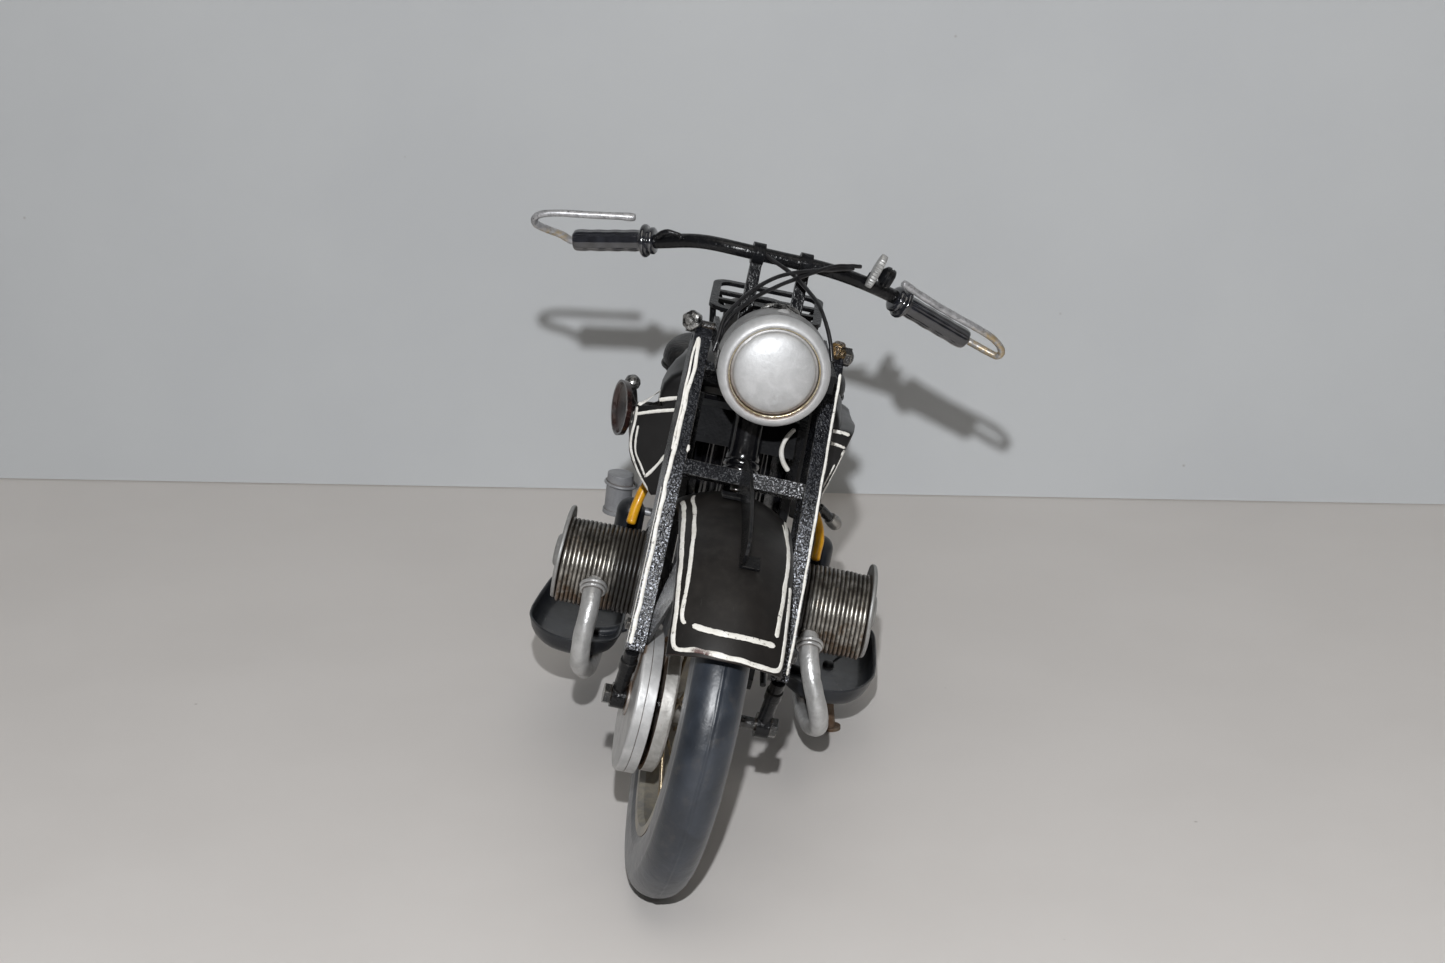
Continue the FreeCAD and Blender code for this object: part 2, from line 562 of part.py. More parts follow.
def grip(outer_end, inner_end):
    """A fluted sleeve with a collar and a round flange at the inner end."""
    sleeve = x_rod(dim.grip_rad, dim.grip_len, -0.8)
    flute_ring = dim.grip_rad + 0.12
    for k in range(10):
        a = math.radians(36 * k)
        sleeve = sleeve.cut(x_rod(0.42, dim.grip_len - 2.2, -1.0,
                                  V(0, flute_ring * math.cos(a), flute_ring * math.sin(a))))
    flange = x_rod(4.35, 1.3, dim.grip_len - 1.0)
    flange = flange.makeFillet(0.5, [e for e in flange.Edges if e.Length > 25])
    collar = x_rod(3.3, 3.4, dim.grip_len - 2.1)
    sleeve = sleeve.fuse([flange, collar]).removeSplitter()
    sleeve.Placement = Placement(outer_end, Rotation(X_AXIS, inner_end - outer_end))
    return largest(sleeve.cut(BAR_SPACE).removeSplitter())


piece("grips", FORK, [grip(*ends) for ends in GRIPS])

# inverted levers of bent wire, rooted in the grips' outer ends: left, right
LEVERS = [
    [(53.4, -26.6, 129.2), (55.6, -27.8, 128.9), (57.9, -29.0, 128.6), (60.2, -30.1, 128.5),
     (61.0, -31.2, 129.9), (58.5, -32.2, 132.4), (54.3, -32.9, 134.7), (43.6, -33.8, 138.3),
     (37.1, -34.6, 140.6), (32.6, -36.0, 142.9)],
    [(-50.6, -27.0, 133.9), (-53.0, -27.6, 134.0), (-56.4, -28.7, 134.2),
     (-59.2, -30.2, 135.3), (-60.0, -31.5, 136.9), (-58.6, -32.5, 138.6),
     (-54.3, -33.0, 140.1), (-45.9, -33.5, 141.7), (-36.6, -34.0, 143.4)],
]
piece("hand_levers", FORK, [tube(path, dim.lever_rad) for path in LEVERS])

# reeded dial on the left of the bar, with a stepped stud
dial_center = V(23.4, -41.6, 144.9)
dial_axis = V(0.90, 0.24, -0.37).normalize()
dial_turn = Rotation(Z_AXIS, dial_axis)
reed_ring = dim.dial_rad + 0.1
dial = Part.makeCylinder(dim.dial_rad, dim.dial_thick,
                         dial_center - dial_axis * (dim.dial_thick / 2), dial_axis)
for k in range(36):
    a = math.radians(10 * k)
    reed = dial_turn.multVec(V(reed_ring * math.cos(a), reed_ring * math.sin(a), 0))
    dial = dial.cut(Part.makeCylinder(0.22, dim.dial_thick * 2,
                                      dial_center + reed - dial_axis * dim.dial_thick,
                                      dial_axis))
dial_face = dial_center + dial_axis * (dim.dial_thick / 2)
stud = Part.makeCylinder(1.25, 2.6, dial_face - dial_axis * 0.02, dial_axis)
stud = stud.fuse(Part.makeCylinder(1.9, 1.2, dial_face + dial_axis * 1.2, dial_axis))
piece("bar_dial", FORK, largest(dial.fuse(stud).cut(BAR_SPACE).removeSplitter()))

CABLES = [  # (x, y, z) from the bar forward and down beside the lamp
    [(11.0, -44.6, 141.0), (6.2, -47.6, 139.9), (0.0, -50.6, 139.0), (-6.5, -55.5, 139.0),
     (-12.0, -62, 138.0), (-15.2, -69, 134.0), (-16.0, -71, 130.4)],
    [(19.4, -42.4, 139.6), (13, -46.6, 140.4), (4.0, -50.4, 141.0), (-4.0, -56.6, 141.9),
     (-10.4, -65, 140.6), (-13.8, -72.0, 136.6), (-14.9, -75.5, 132.0)],
    [(-10.6, -44.6, 141.6), (-5.8, -47.6, 142.0), (0.6, -50.4, 142.7), (8.6, -54.6, 143.2),
     (12.9, -61.5, 141.4), (15.1, -69.0, 136.0), (15.4, -72.0, 130.4)],
]
piece("control_cables", FORK, [tube(path, dim.cable_rad) for path in CABLES])

# ---------------------------------------------------------------- front mudguard
FENDER_LIP = 1.6
piece("front_fender", FORK,
      guard(FRONT_AXLE, dim.fender_crown, dim.fender_edge, dim.fender_half,
            dim.fender_gauge, 36.7, 138.0, FENDER_LIP))

# stays: a folded plate from the mudguard's edge to the blade's foot, and a wire behind
inner_x = dim.blade_x - BLADE_HALF - 0.02
guard_low = polar(FRONT_AXLE, 47.4, 58, 12.72)
guard_high = polar(FRONT_AXLE, 47.4, 76, 12.72)
foot_low, foot_high = fork_point(1.0, -1.5, inner_x), fork_point(8.0, -1.5, inner_x)
gauge = (guard_high - guard_low).cross(foot_high - guard_low).normalize() * 0.7
stay = panel([guard_low, guard_high, foot_high]).extrude(gauge)
stay = stay.fuse(panel([guard_low, foot_high, foot_low]).extrude(gauge))
stay = stay.cut(Part.makeBox(12.74, 200, 200, V(0, -200, 0)))
stay = largest(stay.common(BETWEEN).removeSplitter())
stay = largest(stay.cut(x_rod(dim.plate_rad + 0.4, 40, -20, FRONT_AXLE)))
wire_stay = tube([polar(FRONT_AXLE, 47.0, 130, 13.5), polar(FRONT_AXLE, 30, 138, 15.0),
                  FRONT_AXLE + V(16.4, 6.4, 7.6)], 0.75)
piece("front_fender_stays", FORK, [stay, mirror_x(stay), wire_stay, mirror_x(wire_stay)])


def sector(low, high, start_deg, end_deg, x0, x1):
    """Part of a ring round the front axle, between two radii above number_low."""
    middle = (start_deg + end_deg) / 2
    outer = [polar(FRONT_AXLE, high, a, x0) for a in (start_deg, middle, end_deg)]
    inner = [polar(FRONT_AXLE, low, a, x0) for a in (end_deg, middle, start_deg)]
    edges = [Part.Arc(*outer).toShape(), Part.makeLine(outer[2], inner[0]),
             Part.Arc(*inner).toShape(), Part.makeLine(inner[2], outer[0])]
    return Part.Face(Part.Wire(edges)).extrude(V(x1 - x0, 0, 0))


# blank number plate, standing along the mudguard's crown on two bent feet
low, thick_x = dim.number_low, dim.number_thick / 2
number_plate = sector(low + 0.9, dim.number_high, 61, 101, -thick_x, thick_x)
number_plate = number_plate.makeFillet(
    3.4, [e for e in number_plate.Edges if abs(e.Length - dim.number_thick) < 0.01])
front_foot = sector(low + 0.05, low + 1.5, 62.5, 66.5, -thick_x, 4.4)
front_foot = front_foot.cut(sector(low + 0.75, low + 4, 60, 70, thick_x + 0.01, 9))
rear_foot = sector(low + 0.05, low + 1.5, 93, 97, -4.4, thick_x)
rear_foot = rear_foot.cut(sector(low + 0.75, low + 4, 90, 100, -9, -thick_x - 0.01))
number_plate = number_plate.fuse([front_foot, rear_foot])
number_plate.translate(V(-0.8, 0, 0))
number_plate = number_plate.cut(
    guard(FRONT_AXLE, dim.fender_crown + 0.02, dim.fender_edge + 0.02, dim.fender_half,
          6.0, 30, 178, FENDER_LIP)).removeSplitter()
piece("front_number_plate", FORK, largest(number_plate))

# ---------------------------------------------------------------- fork fasteners
fasteners = []
foot_bolt = blade_point(5.0, -1.0, BLADE_HALF + 0.05)
for side in SIDES:
    outward = V(side, 0, 0)
    # lamp bolt: shank through blade and ear, domed nut outside
    nut = hexagon(on_lamp_bolt(side * (BOLT_OUT_X + 0.12)), outward, 4.1, 1.7, dome=0.9)
    shank = rod(on_lamp_bolt(side * (BOLT_IN_X - 1.3)),
                on_lamp_bolt(side * (BOLT_OUT_X + 0.2)), dim.lamp_bolt_rad)
    fasteners.append(nut.fuse(shank).removeSplitter())
    # axle nut
    fasteners.append(hexagon(FRONT_AXLE + outward * (dim.leg_x + 1.8), outward, 4.4, 1.7,
                             bore=dim.axle_rad + 0.005))
    # bolt head at the blade's foot
    fasteners.append(hexagon(V(side * foot_bolt.x, foot_bolt.y, foot_bolt.z), outward,
                             2.6, 1.0, dome=0.4))
# nuts on the stem, above each yoke: (place up the axis, across flats, thickness)
for up, across, thick in ((YOKE_LOW_TOP, 5.4, 2.0), (YOKE_UP_TOP, 5.0, 1.8)):
    fasteners.append(hexagon(AXIS_LOW + UP * (up + 0.04), UP, across, thick,
                             bore=dim.stem_rad + 0.01))
piece("fork_fasteners", FORK, fasteners)

# ---------------------------------------------------------------- frame
# side member as (y, z): outer outline, then its two openings
RAIL = [(-54.0, 105.5), (-50.5, 96), (-42, 72), (-41.6, 33.5), (-35, 28.2), (24, 28.2),
        (40, 33.5), (84, 38.9), (94.5, 38.4), (97, 44), (93.5, 52), (82, 54.5),
        (56, 72), (30, 79), (-8, 90), (-36, 104), (-48, 108.5)]
RAIL_HOLES = [
    [(-38.5, 97), (-36.4, 70), (-36.4, 37), (-32.8, 33.4), (22, 33.4), (33, 38),
     (31, 71.5), (-12, 83.4)],
    [(38, 40.6), (76, 45.4), (74.5, 53.4), (52, 67.2), (36, 70.2)],
]
RAIL_OUT = dim.rail_x + dim.rail_thick
for label, offset in (("frame_left", "rail_x"), ("frame_right", "-rail_x-rail_thick")):
    rail = padded(label, RAIL, "rail_thick", "YZ_Plane", offset, RAIL_HOLES,
                  [("axle_rear_y", "axle_rear_z", "axle_rad+0.05")])
    keep(rail, label, FRAME)

# round ties between the side members: (y, z, radius)
TIES = [(-37.9, 31.6, 1.6), (27, 33.0, 1.6), (34.5, 74.3, 1.6), (-2.5, 84.6, 1.4)]
TIE_HALF = dim.rail_x - 0.02
piece("frame_crossmembers", FRAME,
      [rod((-TIE_HALF, y, z), (TIE_HALF, y, z), radius) for y, z, radius in TIES])

# head tube with three rings, and a solid gusset joining it to the side members
GUSSET = [(0, -63.0, 100.8), (0, -49.6, 98.6), (0, -46.8, 103.4), (0, -50.0, 107.6),
          (0, -58.5, 108.6)]
head_low = AXIS_LOW + UP * (YOKE_LOW_TOP + 2.6)
head_high = AXIS_LOW + UP * (YOKE_UP - 0.5)
head_tube = rod(head_low, head_high, dim.head_rad)
head_tube = head_tube.fuse([
    rod(head_low, head_low + UP * 2.2, dim.head_rad + 1.0),
    rod(head_high - UP * 2.2, head_high, dim.head_rad + 1.0),
    rod(head_low + UP * 7, head_low + UP * 8.2, dim.head_rad + 0.5)])
left_gusset, right_gusset = [panel(GUSSET).extrude(V(side * TIE_HALF, 0, 0)) for side in SIDES]
head_tube = head_tube.fuse(left_gusset.fuse(right_gusset))
head_tube = head_tube.cut(rod(head_low - UP * 5, head_high + UP * 5, dim.head_bore))
piece("head_tube", FRAME, largest(head_tube.removeSplitter()))

# ---------------------------------------------------------------- engine
case = padded("crankcase", [
    ("-case_half", "case_low+5"), ("-case_half+5", "case_low"), ("case_half-5", "case_low"),
    ("case_half", "case_low+5"), ("case_half", "case_high-6"), ("case_half-6", "case_high"),
    ("-case_half+6", "case_high"), ("-case_half", "case_high-6")],
    "case_back-case_front-4", "XZ_Plane", "-case_back")
# front cover: round boss standing on the case front
cover = sketch_on(case, "cover_outline", "XZ_Plane", "-case_front-4")
circle(cover, 0, "cyl_z-0.5", 10.0)
pad_sketch(case, cover, "cover_pad", 6.4)
keep(case, "crankcase", FRAME)

gearbox = padded("gearbox", [
    ("-box_half", "box_low+4"), ("-box_half+4", "box_low"), ("box_half-4", "box_low"),
    ("box_half", "box_low+4"), ("box_half", "box_high-7"), ("box_half-5", "box_high"),
    ("-box_half+5", "box_high"), ("-box_half", "box_high-7")],
    "box_back-case_back-0.06", "XZ_Plane", "-box_back")
keep(gearbox, "gearbox", FRAME)

CYLINDER = V(0, dim.cyl_y, dim.cyl_z)


def engine_cylinder(label, turn_deg):
    """Barrel along local +X with evenly spaced fins."""
    name = label + "_body"
    body = doc.addObject("PartDesign::Body", name)
    barrel = sketch_on(body, name + "_barrel", "YZ_Plane", "cyl_start")
    circle(barrel, 0, 0, "barrel_rad")
    pad_sketch(body, barrel, name + "_barrel_pad", "cyl_end-cyl_start")
    fin_sketch = sketch_on(body, name + "_fin", "YZ_Plane", "fin_first")
    circle(fin_sketch, 0, 0, "fin_rad")
    fin = pad_sketch(body, fin_sketch, name + "_fin_pad", "fin_thick")
    fins = body.newObject("PartDesign::LinearPattern", name + "_fins")
    fins.Originals = [fin]
    fins.Direction = (origin_feature(body, "X_Axis"), [""])
    fins.Mode = "Extent"
    fins.Length = dim.fin_pitch * (dim.fin_count - 1)
    fins.setExpression("Length", expression("fin_pitch*(fin_count-1)"))
    fins.Occurrences = int(dim.fin_count)
    body.Tip = fins
    doc.recompute()
    body.Placement = Placement(CYLINDER, Rotation(Z_AXIS, turn_deg))
    keep(body, label, FRAME)


engine_cylinder("cylinder_left", 0)
engine_cylinder("cylinder_right", 180)

# cylinder heads: a disc with a small round boss on its outer face
head_x = dim.cyl_end + 0.03
boss_x = head_x + dim.head_thick
head = x_rod(dim.head_rad_out, dim.head_thick, head_x, CYLINDER)
head = head.makeFillet(0.5, [e for e in head.Edges if e.Length > 60])
boss = x_rod(dim.boss_rad, dim.boss_high, boss_x - 0.01, CYLINDER)
boss = boss.makeFillet(0.5, [e for e in boss.Edges
                             if e.Length > 20 and e.CenterOfMass.x > boss_x + 0.5])
head = head.fuse(boss).removeSplitter()
piece("cylinder_heads", FRAME, [head, mirror_x(head)])


def carburettor(side):
    """A domed pot behind the barrel, with a neck forward and an arm in to the gearbox."""
    x, y = side * 25.0, -10.8
    pot = Part.makeCylinder(3.7, 9.4, V(x, y, 51.5), Z_AXIS)
    pot = pot.fuse(Part.makeSphere(3.7, V(x, y, 60.9)))
    neck = rod((x, -16.25, 54.5), (x, -9.0, 54.5), 2.0)
    arm = rod((side * 9.25, -4.0, 50.5), (x, -9.8, 53.5), 1.6)
    pot = pot.fuse([neck, arm])
    pot = pot.cut(x_rod(dim.fin_rad + 0.05, 60, -15 if side > 0 else -45, CYLINDER))
    pot = pot.cut(Part.makeBox(2 * dim.case_half + 0.04, 60, 60,
                               V(-dim.case_half - 0.02, -70.02, 20)))
    pot = pot.cut(Part.makeBox(2 * RAIL_OUT + 0.06, 80, 60, V(-RAIL_OUT - 0.03, -30, 20)))
    return largest(pot.removeSplitter())


piece("carburettors", FRAME, [carburettor(side) for side in SIDES])

# tall canister on the right, behind the carburettor
can_axis = V(-0.06, 0, 1)
can = Part.makeCylinder(3.5, 12.6, V(-28.9, 1.6, 56.4), can_axis)
can = can.fuse(Part.makeCylinder(3.9, 1.1, V(-28.8, 1.6, 55.4), can_axis))
can = can.fuse(rod((-28.8, 1.6, 57.4), (-9.25, 1.6, 57.4), 1.3)).removeSplitter()
piece("air_canister", FRAME, can)

HOSES = [  # from the tank down to the barrels: right, left
    [(-20.6, -20.0, 73.8), (-22.2, -20.2, 72.0), (-23.6, -22.0, 67.4), (-24.2, -24.6, 63.1)],
    [(20.4, -18.8, 74.0), (22.2, -19.4, 72.4), (24.0, -21.0, 67.8), (24.0, -24.6, 63.1)],
]
piece("fuel_hoses", FRAME, [tube(path, 1.25) for path in HOSES])

# ---------------------------------------------------------------- exhaust
EXHAUST_PATHS = {  # side: (x, y, z) from the barrel forward, down and back to the silencer
    1: [(27.0, -38.4, 46.6), (27.4, -41.0, 45.0), (28.4, -43.8, 41.5), (30.2, -45.8, 36.0),
        (32.4, -46.2, 30.0), (33.4, -44.2, 24.6), (32.6, -37.2, 20.6), (30.4, -26, 19.2),
        (28.6, -6, 19.0), (27.5, 15.9, 20.0)],
    -1: [(-30.4, -38.6, 50.4), (-30.2, -41.4, 48.8), (-29.8, -44.4, 44.6),
         (-29.2, -46.2, 38.6), (-28.6, -46.4, 31.4), (-28.4, -43.8, 25.2),
         (-28.4, -37.6, 21.0), (-28.2, -26, 19.4), (-27.8, -6, 19.0), (-27.4, 15.9, 20.0)],
}
CLIPS = {1: (V(27.2, -40.2, 45.5), V(0.1, -0.72, -0.69)),  # side: (center, axis)
         -1: (V(-30.3, -40.6, 49.3), V(0.1, -0.74, -0.66))}
SILENCER = [(0, 0), (0, 2.9), (5, dim.silencer_rad), (52, dim.silencer_rad), (58, 3.0),
            (78, 2.3), (78, 0)]  # (distance back, radius)
fin_space = x_rod(dim.fin_rad + 0.04, 80, -40, CYLINDER)


def exhaust_clip(side):
    """A ring round the pipe near the barrel."""
    center, axis = CLIPS[side]
    clip = Part.makeCylinder(dim.exh_rad + 1.0, 1.3, center - axis * 0.65, axis)
    clip = clip.cut(fin_space)
    return largest(clip.cut(tube(EXHAUST_PATHS[side], dim.exh_rad + 0.04)))


def silencer(side):
    body = lathe(SILENCER)
    turn = Rotation(Z_AXIS, 90).multiply(Rotation(V(0, 1, 0), -3.2))
    body.Placement = Placement(V(side * 27.2, 16.2, 20.1), turn)
    return body


pipes = {side: largest(tube(EXHAUST_PATHS[side], dim.exh_rad).cut(fin_space))
         for side in SIDES}
silencers = {side: silencer(side) for side in SIDES}
piece("exhaust_pipes", FRAME,
      [pipes[1], pipes[-1], exhaust_clip(1), exhaust_clip(-1)])
piece("silencers", FRAME, [silencers[1], silencers[-1]])

# ---------------------------------------------------------------- side stand, on the left
# it swings on a pin under the left footboard; its foot rests on the leaning ground plane
PIVOT = V(35.0, 3.0, 19.7)
FLOOR_NORMAL = V(-math.sin(LEAN), 0, math.cos(LEAN))
FOOT = V(38.9, 3.2, 0)
FOOT.z = FOOT.x * math.tan(LEAN) + dim.ground / math.cos(LEAN)
STAND_RUN = FOOT + FLOOR_NORMAL * 0.5 - PIVOT
HINGE = STAND_RUN.cross(V(0, 1, 0.04)).normalize()


def on_hinge(radius, length, start):
    """A cylinder along the hinge, starting that far from the pivot."""
    return Part.makeCylinder(radius, length, PIVOT + HINGE * start, HINGE)


stand = rod(PIVOT, PIVOT + STAND_RUN, dim.stand_rad)
stand = stand.fuse([on_hinge(2.3, 2.8, -1.4), Part.makeCylinder(2.7, 0.9, FOOT, FLOOR_NORMAL)])
stand = stand.cut(on_hinge(dim.bolt_rad + 0.05, 20, -10))
below_floor = Part.makeCylinder(20, 8, FOOT - FLOOR_NORMAL * 8, FLOOR_NORMAL)
piece("side_stand", FRAME, largest(stand.cut(below_floor).removeSplitter()))

# stand pivot pin with its two heads, and the rear axle nuts
pin = on_hinge(dim.bolt_rad, 5.6, -3.2)
pin = pin.fuse([on_hinge(1.9, 0.8, -3.3), on_hinge(1.9, 1.0, 1.45)]).removeSplitter()
axle_nuts = [hexagon(REAR_AXLE + V(side * x, 0, 0), V(side, 0, 0), 4.6, 1.8,
                     bore=dim.axle_rad + 0.005)
             for side, x in ((1, RAIL_OUT + 0.02), (-1, 20.42))]
piece("frame_fasteners", FRAME, [pin] + axle_nuts)

# ---------------------------------------------------------------- footboards
BOARD_IN, BOARD_OUT = dim.board_in, dim.board_out
BOARD = [  # (x, y) of the left board
    (BOARD_IN, -14.0), (BOARD_IN + 3.5, -21.0), (BOARD_IN + 10, -24.0),
    (BOARD_OUT - 9, -22.6), (BOARD_OUT - 3.2, -17.4), (BOARD_OUT, -8.0), (BOARD_OUT, 18),
    (BOARD_OUT - 3, 23), (BOARD_IN, 23)]


def board_wire(side, z, inset):
    """The plan at z, drawn in at the front and sides; the inner edge stays put."""
    points = []
    for x, y in BOARD:
        if x != BOARD_IN:
            x += inset if x < (BOARD_IN + BOARD_OUT) / 2 else -inset
        points.append((side * x, y + inset * 1.6 if y < 0 else y, z))
    return closed_wire(points)


def footboard(side):
    """A shallow tray with an arm to the frame; the left one carries the stand's lug."""
    z = dim.board_z
    board = Part.makeLoft([board_wire(side, z - 5.0, 3.2), board_wire(side, z, 0.0)],
                          True, True)
    board = board.cut(Part.makeLoft([board_wire(side, z - 1.0, 1.5),
                                     board_wire(side, z + 0.01, 0.9)], True, True))
    if side > 0:
        strap = Part.makeBox(0.9, 4.6, 4.6, V(0, -2.3, 0))
        strap.Placement = Placement(PIVOT - HINGE * 2.4, Rotation(X_AXIS, HINGE))
        board = board.fuse([on_hinge(2.3, 0.9, -2.4), strap])
        board = board.cut(on_hinge(dim.bolt_rad + 0.03, 3, -3.6)).removeSplitter()
    clear = RAIL_OUT + 0.02
    arm = rod((side * clear, -6, 30.0), (side * (BOARD_IN + 8), -6, 24.6), 1.3)
    board = board.fuse(arm).removeSplitter()
    board = board.cut(Part.makeBox(2 * clear, 120, 60, V(-clear, -60, 0)))
    return largest(board.cut(pipes[side]).cut(silencers[side]))


piece("footboards", FRAME, [footboard(side) for side in SIDES])


# ---------------------------------------------------------------- tank
def spline_edge(points):
    curve = Part.BSplineCurve()
    curve.interpolate(points)
    return curve.toShape()


def tank_wire(y, half, low, shoulder, top_half, top, low_half):
    """Section at y: flat base, bulging sides, a step in at the shoulder, a rounded top."""
    rise, crown = shoulder - low, top - shoulder

    def both(points):
        return ([V(x, y, z) for x, z in points],
                [V(-x, y, z) for x, z in reversed(points)])

    left, right = both([(low_half, low), (half * 0.93, low + rise * 0.45),
                        (half, low + rise * 0.8), (half, shoulder)])
    top_left, top_right = both([(top_half, shoulder + 0.01),
                                (top_half * 0.93, shoulder + crown * 0.5),
                                (top_half * 0.62, shoulder + crown * 0.86)])
    return Part.Wire([
        spline_edge(left), Part.makeLine(left[-1], top_left[0]),
        spline_edge(top_left + [V(0, y, top)] + top_right),
        Part.makeLine(top_right[-1], right[0]), spline_edge(right),
        Part.makeLine(right[-1], left[0])])


TANK_HALF, TANK_TOP = dim.tank_half, dim.tank_top
SHOULDER, TANK_LOW = dim.shield_z, dim.shield_low
TANK = [  # y, half width, low z, shoulder z, top's half width, top z, base's half width
    (-38.0, TANK_HALF, TANK_LOW + 0.2, SHOULDER, 22.6, TANK_TOP - 2.0, 20.4),
    (-26.0, TANK_HALF + 0.6, TANK_LOW, SHOULDER, 23.2, TANK_TOP, 20.6),
    (-6.0, TANK_HALF - 1.4, TANK_LOW, SHOULDER - 1.0, 21.6, TANK_TOP - 1.5, 19.4),
    (10.0, TANK_HALF - 8.5, 79.0, SHOULDER - 2.4, 16.0, TANK_TOP - 7.0, 13.6),
    (20.5, 9.4, 84.0, SHOULDER - 5.0, 8.6, TANK_TOP - 15.0, 6.4)]
# channel underneath as (y, z), rising with the frame rails towards the head
CHANNEL = [(-60, 60), (40, 60), (40, 80.5), (30, 80.4), (-8, 91.2), (-36, 106.2), (-60, 119)]
channel_half = RAIL_OUT + 0.35
channel = panel([(-channel_half, y, z) for y, z in CHANNEL])
channel = channel.extrude(V(2 * channel_half, 0, 0))
tank = Part.makeLoft([tank_wire(*station) for station in TANK], True, False)
tank = largest(tank.cut(channel).removeSplitter())
piece("fuel_tank", FRAME, tank)

# fluted filler cap
CAP_Y = -18
cap = Part.makeCylinder(4.6, 2.4, V(0, CAP_Y, TANK_TOP - 1.2), Z_AXIS)
cap = cap.makeFillet(0.7, [e for e in cap.Edges
                           if e.Length > 20 and e.CenterOfMass.z > TANK_TOP + 0.5])
for k in range(16):
    a = math.radians(22.5 * k)
    flute = V(4.75 * math.cos(a), CAP_Y + 4.75 * math.sin(a), TANK_TOP - 2)
    cap = cap.cut(Part.makeCylinder(0.4, 6, flute, Z_AXIS))
piece("tank_cap", FRAME, largest(cap.cut(tank).removeSplitter()))

# horn on the right of the tank: (x, radius) along its axis
HORN = [(-3.2, 0), (-3.2, 2.2), (-0.6, 7.0), (0.8, 7.2), (0.8, 6.6), (-0.2, 6.1),
        (-1.4, 2.0), (-1.0, 0)]
horn_center = V(-32.1, -16.0, 90.0)
horn_axis = V(-0.95, -0.32, 0.0).normalize()
horn = lathe(HORN)
horn.Placement = Placement(horn_center, Rotation(X_AXIS, horn_axis))
horn = horn.fuse(rod(horn_center - horn_axis * 2.6, V(-25.4, -13.7, 90.0), 1.2))
piece("horn", FRAME, largest(horn.cut(tank).removeSplitter()))

# hand gear lever with its ball, on the right
gear_lever = tube([(-9.3, 9.6, 55.0), (-16.0, 9.6, 60.0), (-22, 8.6, 65), (-27.4, 5.0, 73),
                   (-29.4, -0.5, 84), (-30.7, -6.2, 92.6)], 1.05)
gear_lever = gear_lever.fuse(Part.makeSphere(1.9, V(-30.9, -7.1, 94.3))).removeSplitter()
piece("gear_lever", FRAME, largest(gear_lever))


# ---------------------------------------------------------------- saddle
def saddle_wire(z, slope, inset):
    """The saddle's plan, drawn in by inset; slope is its rise per unit of y."""
    half = dim.saddle_half - inset
    points = [(0, 22.6 + inset), (5.2 - inset * 0.4, 23.6 + inset), (9.0 - inset * 0.6, 28),
              (16.5 - inset, 34), (half - 1.8, 39.4), (half, 46), (half - 3.4, 55 - inset),
              (13, 59.6 - inset), (0, 60.6 - inset)]
    points += [(-x, y) for x, y in reversed(points[1:-1])]
    curve = Part.BSplineCurve()
    curve.interpolate([V(x, y, z + slope * (y - 30)) for x, y in points], PeriodicFlag=True)
    return Part.Wire([curve.toShape()])


SADDLE = [(83.6, 0.02, 1.4), (86.6, 0.03, 0.0), (90.2, 0.04, 0.6), (92.4, 0.05, 4.0)]
piece("saddle", FRAME, Part.makeLoft([saddle_wire(*level) for level in SADDLE], True, False))


def saddle_spring(side):
    low, high, radius, wire_rad, turns = 75.4, 82.9, 3.0, 0.55, 4.0
    helix = Part.makeHelix((high - low) / turns, high - low, radius)
    section = Part.Wire([Part.Circle(V(radius, 0, 0), V(0, 1, 0), wire_rad).toShape()])
    spring = Part.Wire(helix.Edges).makePipeShell([section], True, True)
    spring.translate(V(side * 15.0, 48.0, low))
    return spring


piece("saddle_springs", FRAME, [saddle_spring(side) for side in SIDES])

# ---------------------------------------------------------------- rear mudguard
REAR_LIP = 1.4
rear_fender = guard(REAR_AXLE, dim.rear_fender_crown, dim.rear_fender_edge,
                    dim.rear_fender_half, dim.fender_gauge, 28.0, 186.0, REAR_LIP)
rear_fender = rear_fender.cut(Part.makeBox(60, 20, 30, V(-30, 40, 82))).removeSplitter()
piece("rear_fender", FRAME, largest(rear_fender))

# wire stays ending at 40 degrees above the horizontal behind the axle
stay_rad, stay_angle, stay_base_z = 47.0, math.radians(40), 43
stay_y = dim.axle_rear_y + stay_rad * math.cos(stay_angle)
stay_z = stay_base_z + stay_rad * math.sin(stay_angle)
piece("rear_fender_stays", FRAME,
      [tube([(side * 15.15, 85.0, 53.2), (side * 14.6, 106, 62),
             (side * 12.5, stay_y, stay_z)], 0.8) for side in SIDES])

# tail lamp: (distance back, radius)
TAIL_LAMP = [(-2.65, 0), (-2.65, 1.3), (-1.0, 1.3), (-1.0, 3.6), (-0.2, 4.2), (4.6, 4.2),
             (4.9, 3.8), (6.4, 3.3), (7.4, 2.0), (7.8, 0)]
tail_lamp = lathe(TAIL_LAMP)
tail_lamp.Placement = Placement(
    polar(REAR_AXLE, dim.rear_fender_crown + 0.02, 154) + V(0, 1.7, 3.6), Rotation(Z_AXIS, 90))
piece("tail_lamp", FRAME, largest(tail_lamp))

